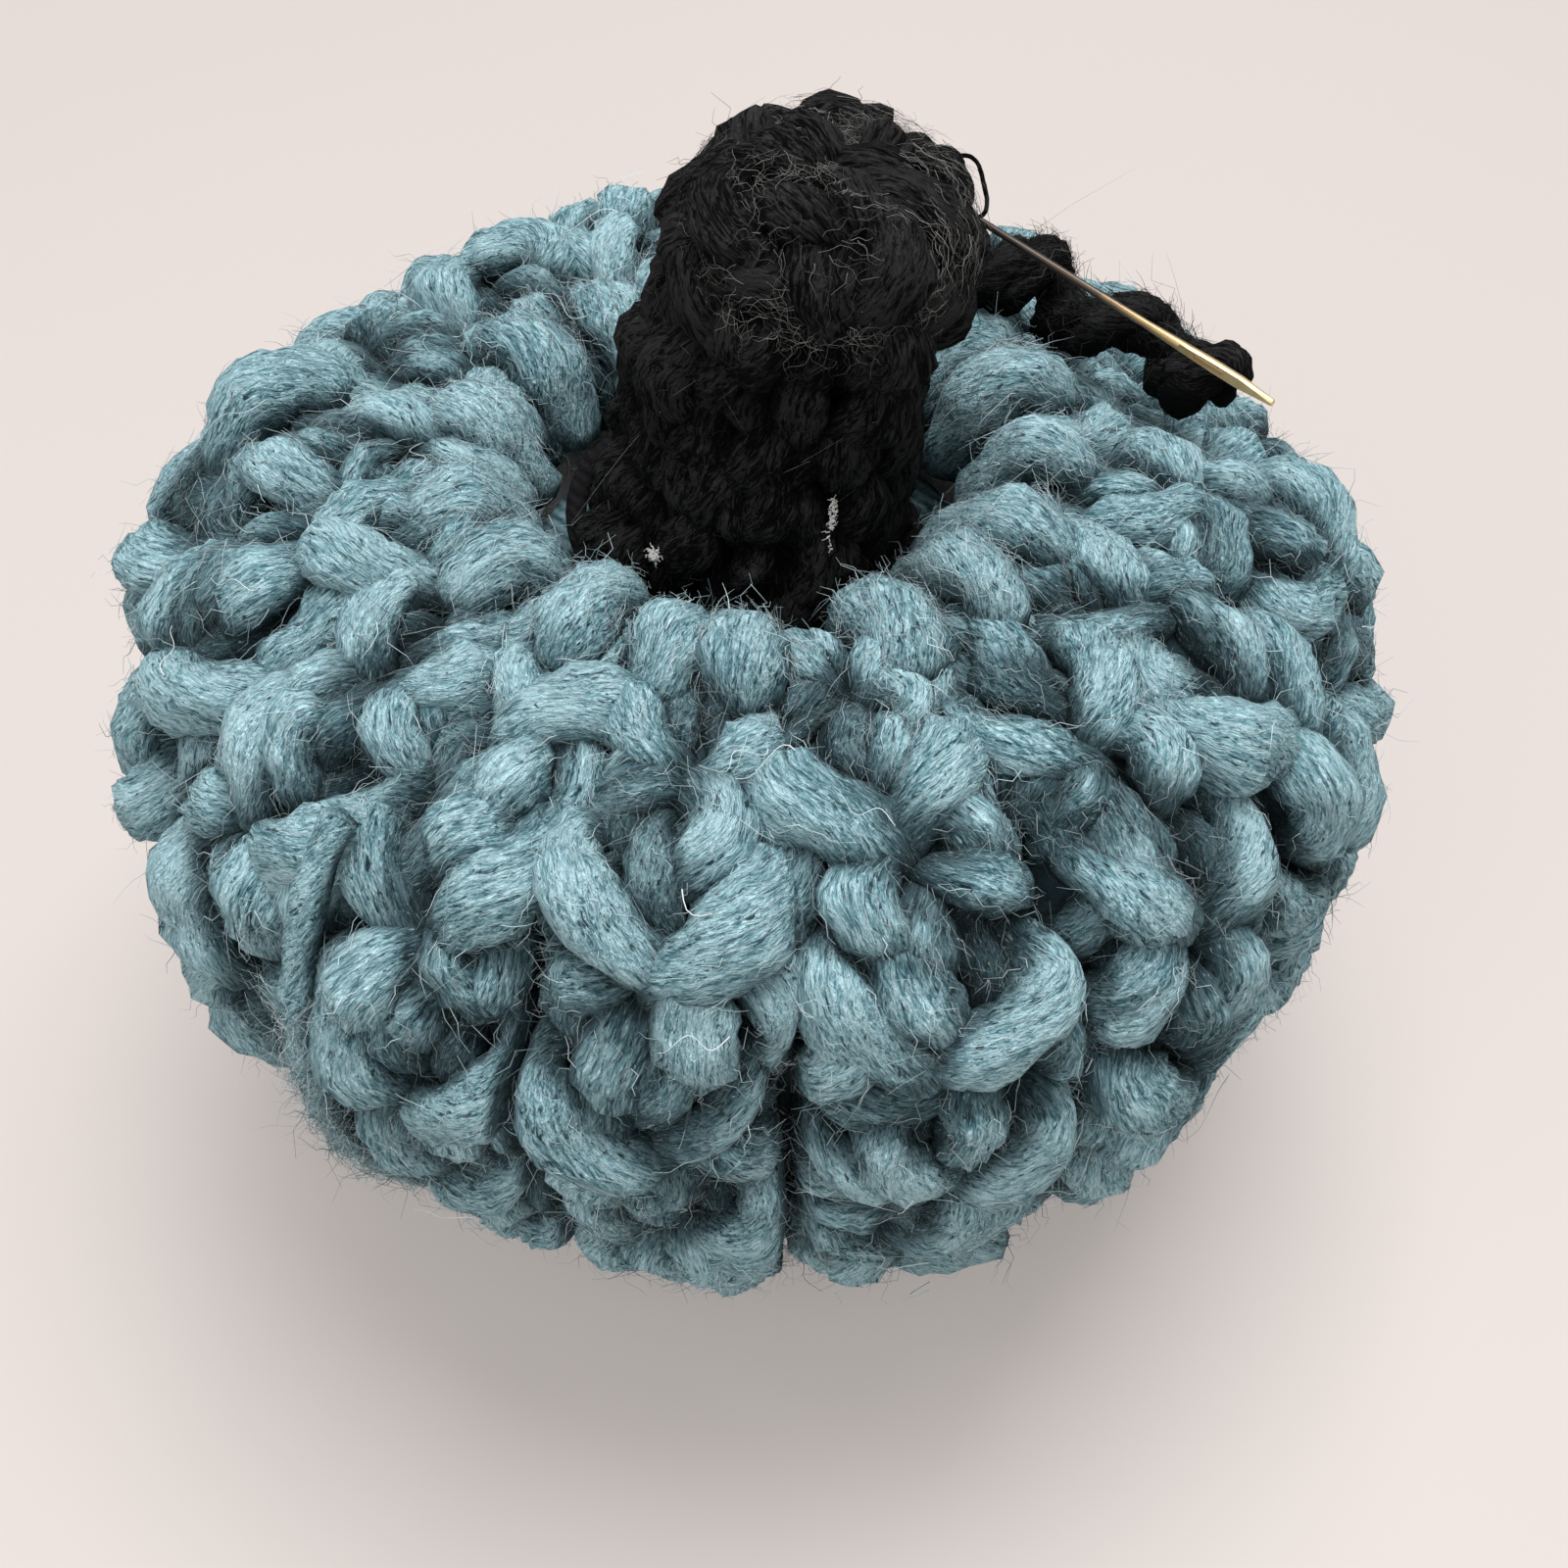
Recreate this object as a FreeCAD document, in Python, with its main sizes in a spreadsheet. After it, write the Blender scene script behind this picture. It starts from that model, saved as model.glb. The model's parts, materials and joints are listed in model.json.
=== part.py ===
import FreeCAD, Part
import math
import os
import re
import Sketcher
from FreeCAD import Placement, Rotation, Vector

# Crocheted pumpkin pin cushion, in millimetres.
# +Z is up and the origin is the centre of the flat underside. The side seam is on the front left
# (-X, -Y), the stem leans towards +X, and the tendril lies on the shoulder at the back right.

SIZES = {
    # Ribbed cover: a squashed ball on a flat underside, pulled down to a dimple around the stem.
    "belt_radius": 50.0,
    "belt_height": 49.0,
    "flat_radius": 16.0,
    "corner_radius": 22.0,
    "shoulder_radius": 22.0,
    "dimple_radius": 14.5,
    "lip_radius": 6.0,
    "cover_thickness": 9.0,
    "filling_gap": 0.5,
    "bottom_hole_radius": 6.6,
    "rib_count": 16,
    "groove_radius": 3.2,
    "groove_rise_radius": 27.0,
    "groove_rise_sweep": 75.0,
    "groove_fall_sweep": 55.0,
    "seam_angle": -129.0,
    # Hollow that the tendril has pressed into the shoulder: a ball that bites hollow_depth deep.
    "hollow_ball_radius": 50.0,
    "hollow_depth": 7.0,
    "hollow_angle": 30.0,
    "hollow_slope": 69.0,
    # Strands of the cover's own yarn.
    "seam_strand_radius": 1.3,
    "seam_strand_depth": 1.2,
    "seam_rise_sweep": 38.0,
    "seam_fall_sweep": 48.0,
    "gather_strand_radius": 1.8,
    "top_gather_radius": 16.0,
    "top_gather_height": 57.2,
    "bottom_gather_radius": 4.4,
    "bottom_gather_height": 5.4,
    "tie_radius": 1.1,
    "tie_spacing": 1.25,
    "tie_bottom": 1.9,
    "tie_bend_radius": 3.0,
    "tie_wrap_gap": 0.2,
    "tie_knot_radius": 3.0,
    "tie_knot_half_height": 1.4,
    "tie_hitch_radius": 1.3,
    "tie_hitch_half_height": 1.9,
    "tie_hitch_offset": 0.3,
    "tie_channel_radius": 2.8,
    "filling_seat_radius": 20.7,
    "filling_seat_height": 51.6,
    # Stem, in its own upright frame with its origin on the hinge.
    "stem_pivot_height": 63.0,
    "stem_lean": 10.2,
    "stem_bottom": -2.7,
    "stem_base_radius": 12.4,
    "stem_top_radius": 10.3,
    "stem_top": 30.5,
    "stem_corner_radius": 4.5,
    "stem_wall": 3.2,
    "stem_filling_gap": 0.2,
    "sewing_strand_radius": 0.8,
    "sewing_ring_radius": 13.4,
    "sewing_ring_height": -1.0,
    # Needle: its own frame has +Z towards the eye, with z = 0 where it leaves the stem.
    "needle_entry_x": 15.6,
    "needle_entry_y": 0.5,
    "needle_entry_z": 89.0,
    "needle_turn": -37.1,
    "needle_drop": 11.1,
    "needle_inside": 11.0,
    "needle_outside": 23.5,
    "needle_point_length": 3.0,
    "needle_point_radius": 0.05,
    "needle_entry_radius": 0.24,
    "needle_shank_radius": 0.27,
    "needle_eye_width": 0.88,
    "needle_eye_thickness": 0.5,
    "needle_eye_length": 10.0,
    "needle_eye_flare": 5.5,
    "needle_end_width": 0.46,
    "needle_end_taper": 2.6,
    "needle_end_radius": 0.15,
    "needle_slot_width": 0.34,
    "needle_slot_length": 2.4,
    "needle_clearance": 0.05,
    "needle_push_room": 3.0,
    # Curly tendril: a corkscrew of stem yarn wound round a curve over the shoulder.
    "vine_yarn_radius": 1.9,
    "vine_coil_radius": 2.5,
    "vine_turns": 3.6,
    "vine_tie_radius": 0.8,
    "vine_tie_gap": 0.2,
}
# Centre line of the tendril, from its sewn root beside the stem to its tip.
VINE_CURVE = (
    (10.5, 14.5, 74.4),
    (18.0, 18.0, 75.0),
    (25.2, 16.6, 72.0),
    (32.2, 8.6, 71.9),
    (35.6, 3.6, 73.6),
)

# Points along each turn of the tendril that its smooth corkscrew runs through.
POINTS_PER_TURN = 6

doc = FreeCAD.newDocument("pin_cushion")
sheet = doc.addObject("Spreadsheet::Sheet", "Sizes")
for row, (alias, number) in enumerate(SIZES.items(), start=1):
    sheet.set(f"A{row}", alias)
    sheet.set(f"B{row}", str(number))
    sheet.setAlias(f"B{row}", alias)
doc.recompute()


# ---- sheet, sketch and feature helpers --------------------------------------------------------


def bound(expression):
    """The expression with every alias written the way another object refers to the sheet."""
    return re.sub(r"[a-z]\w+", lambda word: "Sizes." * (word[0] in SIZES) + word[0], expression)


def size(expression):
    """The value of an expression in the sheet's aliases, such as belt_radius - lip_radius."""
    return float(sheet.evalExpression(bound(expression)))


def drive(feature, **expressions):
    """Binds a feature's properties to the sheet; a double underscore stands for a dot."""
    for name, expression in expressions.items():
        feature.setExpression(name.replace("__", "."), bound(expression))


def new_body(name):
    return doc.addObject("PartDesign::Body", name)


def origin_feature(body, role):
    return next(feature for feature in body.Origin.OriginFeatures if feature.Role == role)


def new_sketch(body, name, plane="XZ_Plane"):
    sketch = body.newObject("Sketcher::SketchObject", name)
    sketch.AttachmentSupport = (origin_feature(body, plane), [""])
    sketch.MapMode = "FlatFace"
    return sketch


ORIGIN = (-1, 1)
START, END, CENTRE = 1, 2, 3


def constrain(sketch, kind, *places, to=None):
    """A constraint between sketch points; with to, its value is bound to the sheet."""
    flat = [number for place in places for number in (place if isinstance(place, tuple) else (place,))]
    if to is None:
        sketch.addConstraint(Sketcher.Constraint(kind, *flat))
    else:
        index = sketch.addConstraint(Sketcher.Constraint(kind, *flat, size(to)))
        sketch.setExpression(f"Constraints[{index}]", bound(to))


def line(sketch, start, end):
    return sketch.addGeometry(Part.LineSegment(Vector(*start, 0), Vector(*end, 0)), False)


def arc(sketch, centre, arc_radius, first_degrees, last_degrees):
    """An arc of a circle, running anticlockwise."""
    circle = Part.Circle(Vector(*centre, 0), Vector(0, 0, 1), arc_radius)
    turn = Part.ArcOfCircle(circle, math.radians(first_degrees), math.radians(last_degrees))
    return sketch.addGeometry(turn, False)


def add_circle(sketch, across, up, circle_radius):
    """A circle whose centre and radius are expressions."""
    outline = Part.Circle(Vector(size(across), size(up), 0), Vector(0, 0, 1), size(circle_radius))
    index = sketch.addGeometry(outline, False)
    constrain(sketch, "Radius", index, to=circle_radius)
    constrain(sketch, "DistanceX", ORIGIN, (index, CENTRE), to=across)
    constrain(sketch, "DistanceY", ORIGIN, (index, CENTRE), to=up)


def add_polygon(sketch, *corners):
    """A closed outline through corners given as pairs of expressions, each one dimensioned."""
    points = [(size(across), size(up)) for across, up in corners]
    sides = [line(sketch, point, points[(i + 1) % len(points)]) for i, point in enumerate(points)]
    for i, (across, up) in enumerate(corners):
        constrain(sketch, "Coincident", (sides[i - 1], END), (sides[i], START))
        constrain(sketch, "DistanceX", ORIGIN, (sides[i], START), to=across)
        constrain(sketch, "DistanceY", ORIGIN, (sides[i], START), to=up)


def revolve(body, sketch, kind="Revolution", axis="V_Axis", sweep="360", backwards=False):
    turned = body.newObject("PartDesign::" + kind, sketch.Name + "_turned")
    turned.Profile = sketch
    turned.ReferenceAxis = (sketch, [axis])
    drive(turned, Angle=sweep)
    turned.Reversed = backwards
    return turned


def boolean(kind, name, base, tool):
    result = doc.addObject("Part::" + kind, name)
    result.Base = base
    result.Tool = tool
    return result


def torus(name, ring_radius, yarn_radius, height):
    ring = doc.addObject("Part::Torus", name)
    drive(ring, Radius1=ring_radius, Radius2=yarn_radius, Placement__Base__z=height)
    return ring


def knot(name, half_height, knot_radius):
    bead = doc.addObject("Part::Ellipsoid", name)
    drive(bead, Radius1=half_height, Radius2=knot_radius, Radius3=knot_radius)
    return bead


# ---- cushion: the ball shape shared by the cover's outside, its inside and the filling --------

SIDE_RADIUS = (
    "((belt_radius - flat_radius)^2 + (belt_height - corner_radius)^2 - corner_radius^2)"
    " / (2 * (belt_radius - flat_radius - corner_radius))"
)


def ball_outline(sketch, inset):
    """Half of the ball's outline, moved inwards by inset: flat, corner, side, shoulder, crown."""
    gap = size(inset)
    belt_x, belt_z = size("belt_radius"), size("belt_height")
    flat, corner = size("flat_radius"), size("corner_radius")
    side, shoulder = size(SIDE_RADIUS), size("shoulder_radius")
    crest_x, crest_z = belt_x - shoulder, belt_z + shoulder - gap
    touch = math.degrees(math.atan2(corner - belt_z, flat - belt_x + side))

    floor = line(sketch, (0, gap), (flat, gap))
    corner_arc = arc(sketch, (flat, corner), corner - gap, -90, touch)
    side_arc = arc(sketch, (belt_x - side, belt_z), side - gap, touch, 0)
    shoulder_arc = arc(sketch, (crest_x, belt_z), shoulder - gap, 0, 90)
    crown = line(sketch, (crest_x, crest_z), (0, crest_z))
    axis = line(sketch, (0, crest_z), (0, gap))

    outline = [floor, corner_arc, side_arc, shoulder_arc, crown, axis]
    for i, piece in enumerate(outline):
        if piece != side_arc:
            constrain(sketch, "Coincident", (outline[i - 1], END), (piece, START))
    constrain(sketch, "Tangent", (corner_arc, END), (side_arc, START))
    constrain(sketch, "Vertical", (floor, END), (corner_arc, CENTRE))
    constrain(sketch, "Horizontal", (side_arc, CENTRE), (side_arc, END))
    constrain(sketch, "Horizontal", (shoulder_arc, CENTRE), (shoulder_arc, START))
    constrain(sketch, "Vertical", (shoulder_arc, CENTRE), (shoulder_arc, END))
    constrain(sketch, "Horizontal", floor)
    constrain(sketch, "Horizontal", crown)
    constrain(sketch, "Vertical", axis)
    constrain(sketch, "Vertical", ORIGIN, (axis, END))
    constrain(sketch, "DistanceY", ORIGIN, (floor, END), to=inset)
    constrain(sketch, "DistanceX", ORIGIN, (floor, END), to="flat_radius")
    constrain(sketch, "DistanceX", ORIGIN, (side_arc, END), to=f"belt_radius - ({inset})")
    constrain(sketch, "DistanceY", ORIGIN, (side_arc, END), to="belt_height")
    constrain(sketch, "Radius", corner_arc, to=f"corner_radius - ({inset})")
    constrain(sketch, "Radius", shoulder_arc, to=f"shoulder_radius - ({inset})")


def circle_edge(feature, edge_radius, height):
    """The name of the feature's round edge with this radius at this height."""
    for number, edge in enumerate(feature.Shape.Edges, start=1):
        box = edge.BoundBox
        if abs(box.ZMin - height) + abs(box.ZMax - height) + abs(box.XMax - edge_radius) < 0.001:
            return f"Edge{number}"
    raise RuntimeError(f"{feature.Name} has no round edge of radius {edge_radius}")


def dimple(body):
    """Opening through the crown for the stem, with a rounded lip."""
    opening = body.newObject("PartDesign::SubtractiveCylinder", "dimple_opening")
    drive(
        opening,
        Radius="dimple_radius",
        Height="2 * cover_thickness",
        Placement__Base__z="belt_height + shoulder_radius - cover_thickness",
    )
    doc.recompute()
    lip = body.newObject("PartDesign::Fillet", "dimple_lip")
    edge = circle_edge(opening, size("dimple_radius"), size("belt_height + shoulder_radius"))
    lip.Base = (opening, [edge])
    drive(lip, Radius="lip_radius")


def ball(name, inset, has_dimple=False):
    """The ball moved inwards by inset, with the tendril's hollow pressed into its shoulder."""
    body = new_body(name)
    sketch = new_sketch(body, name + "_outline")
    ball_outline(sketch, inset)
    revolve(body, sketch)
    if has_dimple:
        dimple(body)
    reach = "(shoulder_radius + hollow_ball_radius - hollow_depth)"
    out = f"(belt_radius - shoulder_radius + {reach} * cos(hollow_slope * 1 deg))"
    hollow = body.newObject("PartDesign::SubtractiveSphere", name + "_hollow")
    drive(
        hollow,
        Radius=f"hollow_ball_radius + {inset}",
        Placement__Base__x=f"{out} * cos(hollow_angle * 1 deg)",
        Placement__Base__y=f"{out} * sin(hollow_angle * 1 deg)",
        Placement__Base__z=f"belt_height + {reach} * sin(hollow_slope * 1 deg)",
    )
    return body


def meridian_run(body, name, kind, yarn_radius, depth, bend_radius, sweep, upwards):
    """A round bar bent over the ball at the seam, up or down from the belt, cut or added."""
    sketch = new_sketch(body, name, "XY_Plane")
    drive(sketch, AttachmentOffset__Base__z="belt_height")
    drive(sketch, AttachmentOffset__Rotation__Angle="seam_angle")
    add_circle(sketch, f"belt_radius - {depth}", "0", yarn_radius)
    pivot = f"belt_radius - {bend_radius}"
    hub = line(sketch, (size(pivot), 0), (size(pivot), 1))
    sketch.setConstruction(hub, True)
    constrain(sketch, "Vertical", hub)
    constrain(sketch, "Horizontal", ORIGIN, (hub, START))
    constrain(sketch, "DistanceX", ORIGIN, (hub, START), to=pivot)
    constrain(sketch, "DistanceY", hub, to="1")
    return revolve(body, sketch, kind, "Axis0", sweep, backwards=upwards)


def make_body_cover():
    """Ribbed crocheted cover: a thick shell, open at the dimple and at the gathered underside."""
    outside = ball("cover_outside", "0", has_dimple=True)
    runs = [
        meridian_run(outside, "groove_rise", "Groove", "groove_radius", "0",
                     "groove_rise_radius", "groove_rise_sweep", True),
        meridian_run(outside, "groove_fall", "Groove", "groove_radius", "0",
                     SIDE_RADIUS, "groove_fall_sweep", False),
    ]
    doc.recompute()
    grooves = outside.newObject("PartDesign::PolarPattern", "grooves")
    grooves.Originals = runs
    grooves.Axis = (origin_feature(outside, "Z_Axis"), [""])
    grooves.Angle = 360
    drive(grooves, Occurrences="rib_count")
    outside.Tip = grooves

    hole = doc.addObject("Part::Cylinder", "bottom_hole")
    drive(hole, Radius="bottom_hole_radius", Height="2 * cover_thickness")
    shell = boolean("Cut", "cover_shell", outside, ball("cover_core", "cover_thickness"))
    return boolean("Cut", "body_cover", shell, hole)


def make_body_filling():
    """Stuffing, with a seat under the stem and a channel for the centre tie."""
    filling = ball("body_filling", "cover_thickness + filling_gap")
    for name, radius, bottom in (
        ("filling_seat", "filling_seat_radius", "filling_seat_height"),
        ("filling_channel", "tie_channel_radius", "0"),
    ):
        bore = filling.newObject("PartDesign::SubtractiveCylinder", name)
        drive(bore, Radius=radius, Height="belt_height + shoulder_radius", Placement__Base__z=bottom)
    return filling


def make_side_seam_strand():
    """Taut strand that closes the tube of crocheted ribs, lying in the seam's groove."""
    strand = new_body("side_seam_strand")
    meridian_run(strand, "strand_rise", "Revolution", "seam_strand_radius", "seam_strand_depth",
                 "groove_rise_radius", "seam_rise_sweep", True)
    meridian_run(strand, "strand_fall", "Revolution", "seam_strand_radius", "seam_strand_depth",
                 SIDE_RADIUS, "seam_fall_sweep", False)
    return strand


def make_gather_strands():
    """Drawstrings that pull the cover's two ends together."""
    top = torus("top_gather_strand", "top_gather_radius", "gather_strand_radius", "top_gather_height")
    bottom = torus(
        "bottom_gather_strand", "bottom_gather_radius", "gather_strand_radius", "bottom_gather_height"
    )
    return [top, bottom]


def make_centre_tie():
    """Strand looped round the top drawstring on both sides and knotted under the cushion."""
    strand = new_body("tie_strand")
    wrap = "(gather_strand_radius + tie_wrap_gap + tie_radius)"
    under = f"top_gather_height - {wrap}"
    ring_y, ring_z, under_z = size("top_gather_radius"), size("top_gather_height"), size(under)
    leg_y, foot_z, bend = size("tie_spacing"), size("tie_bottom"), size("tie_bend_radius")
    section = new_sketch(strand, "tie_section", "XY_Plane")
    drive(section, AttachmentOffset__Base__z="tie_bottom")
    add_circle(section, "0", "tie_spacing", "tie_radius")
    path = new_sketch(strand, "tie_path", "YZ_Plane")
    loop = arc(path, (ring_y, ring_z), size(wrap), -90, 180)
    reach = line(path, (ring_y, under_z), (leg_y + bend, under_z))
    turn = arc(path, (leg_y + bend, under_z - bend), bend, 90, 180)
    leg = line(path, (leg_y, under_z - bend), (leg_y, foot_z))
    constrain(path, "Tangent", (loop, START), (reach, START))
    constrain(path, "Horizontal", reach)
    constrain(path, "Tangent", (reach, END), (turn, START))
    constrain(path, "Tangent", (turn, END), (leg, START))
    constrain(path, "Vertical", leg)
    constrain(path, "Radius", turn, to="tie_bend_radius")
    constrain(path, "Radius", loop, to=wrap)
    constrain(path, "Horizontal", (loop, CENTRE), (loop, END))
    constrain(path, "DistanceX", ORIGIN, (loop, CENTRE), to="top_gather_radius")
    constrain(path, "DistanceY", ORIGIN, (loop, CENTRE), to="top_gather_height")
    constrain(path, "DistanceX", ORIGIN, (leg, END), to="tie_spacing")
    constrain(path, "DistanceY", ORIGIN, (leg, END), to="tie_bottom")
    run = strand.newObject("PartDesign::AdditivePipe", "tie_run")
    run.Profile = section
    run.Spine = (path, [""])

    hitch = knot("tie_hitch", "tie_hitch_half_height", "tie_hitch_radius")
    drive(hitch, Placement__Base__y=f"top_gather_radius - {wrap} - tie_hitch_offset")
    drive(hitch, Placement__Base__z=f"{under} + tie_hitch_half_height")
    half = boolean("Fuse", "tie_half", strand, hitch)
    other_half = doc.addObject("Part::Mirroring", "tie_other_half")
    other_half.Source = half
    other_half.Normal = Vector(0, 1, 0)
    foot = knot("tie_knot", "tie_knot_half_height", "tie_knot_radius")
    drive(foot, Placement__Base__z="tie_bottom")
    tie = doc.addObject("Part::MultiFuse", "centre_tie")
    tie.Shapes = [half, other_half, foot]
    return tie


# ---- stem: an upright tube in its own frame, then leaned over about its hinge -----------------


def lean(feature, height="0"):
    """Puts an upright piece of the stem, height above its hinge, in its leaning place."""
    drive(
        feature,
        Placement="create(<<placement>>; create(<<vector>>; 0; 0; stem_pivot_height);"
        " create(<<rotation>>; 0; stem_lean; 0))"
        f" * create(<<placement>>; create(<<vector>>; 0; 0; {height}); create(<<rotation>>; 0; 0; 0))",
    )


def stem_solid(name, inset, bottom):
    """Tapered stem with a rounded, slightly hollow top, moved inwards by inset."""
    body = new_body(name)
    sketch = new_sketch(body, name + "_outline")
    gap = size(inset)
    corner_x = size("stem_top_radius - stem_corner_radius")
    corner_z = size("stem_top - stem_corner_radius")
    corner = size("stem_corner_radius") - gap
    base = (size("stem_base_radius") - gap, size(bottom))
    hollow = (0, corner_z + corner - 1)
    floor = line(sketch, (0, base[1]), base)
    wall = line(sketch, base, (corner_x + corner, corner_z))
    round_arc = arc(sketch, (corner_x, corner_z), corner, 0, 90)
    top = line(sketch, (corner_x, corner_z + corner), hollow)
    axis = line(sketch, hollow, (0, base[1]))
    outline = [floor, wall, round_arc, top, axis]
    for i, piece in enumerate(outline):
        constrain(sketch, "Coincident", (outline[i - 1], END), (piece, START))
    constrain(sketch, "Horizontal", floor)
    constrain(sketch, "Vertical", axis)
    constrain(sketch, "Vertical", ORIGIN, (axis, END))
    constrain(sketch, "Horizontal", (round_arc, CENTRE), (round_arc, START))
    constrain(sketch, "Vertical", (round_arc, CENTRE), (round_arc, END))
    constrain(sketch, "Radius", round_arc, to=f"stem_corner_radius - ({inset})")
    constrain(sketch, "DistanceX", ORIGIN, (round_arc, CENTRE), to="stem_top_radius - stem_corner_radius")
    constrain(sketch, "DistanceY", ORIGIN, (round_arc, CENTRE), to="stem_top - stem_corner_radius")
    constrain(sketch, "DistanceY", (top, END), (top, START), to="1")
    constrain(sketch, "DistanceX", ORIGIN, (floor, END), to=f"stem_base_radius - ({inset})")
    constrain(sketch, "DistanceY", ORIGIN, (floor, END), to=bottom)
    revolve(body, sketch)
    lean(body)
    return body


NEEDLE_FRAME = (
    "create(<<placement>>; create(<<vector>>; needle_entry_x; needle_entry_y; needle_entry_z);"
    " create(<<rotation>>; needle_turn; 90 + needle_drop; 0))"
)


def make_needle_channel():
    """Space that the needle's shaft needs through the stem, with room to be pushed further in."""
    channel = doc.addObject("Part::Cylinder", "needle_channel")
    inside = "needle_inside + needle_push_room"
    shaft = "create(<<vector>>; 0; 0; -({}))".format(inside)
    drive(
        channel,
        Radius="needle_entry_radius + needle_clearance",
        Height=f"{inside} + needle_push_room",
        Placement=f"{NEEDLE_FRAME} * create(<<placement>>; {shaft}; create(<<rotation>>; 0; 0; 0))",
    )
    return channel


def make_stem():
    """Crocheted tube, its stuffing and the ring of stitches that sews it to the cover."""
    channel = make_needle_channel()
    shell = boolean(
        "Cut",
        "stem_shell",
        stem_solid("stem_outside", "0", "stem_bottom"),
        stem_solid("stem_core", "stem_wall", "stem_bottom"),
    )
    cover = boolean("Cut", "stem_cover", shell, channel)
    inset = "stem_wall + stem_filling_gap"
    stuffing = stem_solid("stem_stuffing", inset, "stem_bottom + 2 * stem_filling_gap")
    filling = boolean("Cut", "stem_filling", stuffing, channel)
    stitches = torus("stem_sewing_strand", "sewing_ring_radius", "sewing_strand_radius", "0")
    lean(stitches, "sewing_ring_height")
    return [cover, filling, stitches]


# ---- needle and tendril -----------------------------------------------------------------------


def make_needle():
    """Hand-sewing needle: a tapered shaft, flattened round a long eye, with a narrow rounded end."""
    needle = new_body("needle")
    outline = new_sketch(needle, "needle_outline")
    neck = "needle_outside - needle_eye_length"
    add_polygon(
        outline,
        ("0", "-needle_inside"),
        ("needle_point_radius", "-needle_inside"),
        ("needle_entry_radius", "needle_point_length - needle_inside"),
        ("needle_entry_radius", "0"),
        ("needle_shank_radius", f"({neck}) / 2"),
        ("needle_shank_radius", neck),
        ("needle_eye_width / 2", f"{neck} + needle_eye_flare"),
        ("needle_eye_width / 2", "needle_outside - needle_end_taper"),
        ("needle_end_width / 2", "needle_outside"),
        ("0", "needle_outside"),
    )
    turned = revolve(needle, outline)
    doc.recompute()
    tip = needle.newObject("PartDesign::Fillet", "needle_end")
    tip.Base = (turned, [circle_edge(turned, size("needle_end_width / 2"), size("needle_outside"))])
    drive(tip, Radius="needle_end_radius")
    doc.recompute()

    flats = new_sketch(needle, "needle_flats", "YZ_Plane")
    for face, rim in (("needle_eye_thickness / 2", "needle_eye_width"),
                      ("-needle_eye_thickness / 2", "-needle_eye_width")):
        ends = (f"{neck} + needle_eye_flare / 2", "needle_outside + needle_eye_flare")
        add_polygon(flats, (face, ends[0]), (rim, ends[0]), (rim, ends[1]), (face, ends[1]))
    cut_through(needle, flats)
    slot = new_sketch(needle, "needle_slot")
    half_width, half_length = size("needle_slot_width / 2"), size("needle_slot_length / 2")
    middle = size("needle_outside - needle_eye_length / 2")
    reach = half_length - half_width
    top = arc(slot, (0, middle + reach), half_width, 0, 180)
    left = line(slot, (-half_width, middle + reach), (-half_width, middle - reach))
    low = arc(slot, (0, middle - reach), half_width, 180, 360)
    right = line(slot, (half_width, middle - reach), (half_width, middle + reach))
    outline = [top, left, low, right]
    for i, piece in enumerate(outline):
        constrain(slot, "Tangent", (outline[i - 1], END), (piece, START))
    constrain(slot, "Vertical", left)
    constrain(slot, "Radius", top, to="needle_slot_width / 2")
    constrain(slot, "Vertical", ORIGIN, (top, CENTRE))
    span = "(needle_slot_length - needle_slot_width)"
    low_end = f"needle_outside - needle_eye_length / 2 - {span} / 2"
    constrain(slot, "DistanceY", (low, CENTRE), (top, CENTRE), to=span)
    constrain(slot, "DistanceY", ORIGIN, (low, CENTRE), to=low_end)
    cut_through(needle, slot)
    drive(needle, Placement=NEEDLE_FRAME)
    return needle


def cut_through(needle, sketch):
    """Cuts a sketch's outline through the whole needle, to both sides of its plane."""
    cut = needle.newObject("PartDesign::Pocket", sketch.Name + "_cut")
    cut.Profile = sketch
    cut.Midplane = True
    drive(cut, Length="2 * needle_eye_width")


def coil_point(curve, along, turns, coil_radius):
    """A point of the corkscrew, which grows out of the curve at the root and closes at the tip."""
    ahead = curve.tangent(along)[0]
    side = ahead.cross(Vector(0, 0, 1)).normalize()
    spread = coil_radius * min(1, max(0, 5 * along - 0.4), 5 * (1 - along) + 0.35)
    angle = 2 * math.pi * turns * along
    outwards = side * math.cos(angle) + side.cross(ahead) * math.sin(angle)
    return curve.value(along) + outwards * spread


def make_vine():
    """Corkscrew tendril of stem yarn and the strand that ties its root down."""
    curve = Part.BSplineCurve()
    curve.interpolate([Vector(*point) for point in VINE_CURVE])
    curve.scaleKnotsToBounds(0, 1)
    turns, coil_radius = size("vine_turns"), size("vine_coil_radius")
    steps = round(turns * POINTS_PER_TURN)
    coil = Part.BSplineCurve()
    coil.interpolate([coil_point(curve, i / steps, turns, coil_radius) for i in range(steps + 1)])
    root, ahead = coil.value(coil.FirstParameter), coil.tangent(coil.FirstParameter)[0]
    section = Part.Wire(Part.makeCircle(size("vine_yarn_radius"), root, ahead))
    vine = doc.addObject("Part::Feature", "curly_vine")
    vine.Shape = Part.Wire(coil.toShape()).makePipeShell([section], True, True)

    tie = doc.addObject("Part::Torus", "vine_tie")
    drive(tie, Radius1="vine_yarn_radius + vine_tie_gap + vine_tie_radius", Radius2="vine_tie_radius")
    tie.Placement = Placement(root + ahead * size("vine_tie_radius"), Rotation(Vector(0, 0, 1), ahead))
    return [vine, tie]


# ---- build, check and write -------------------------------------------------------------------

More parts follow.
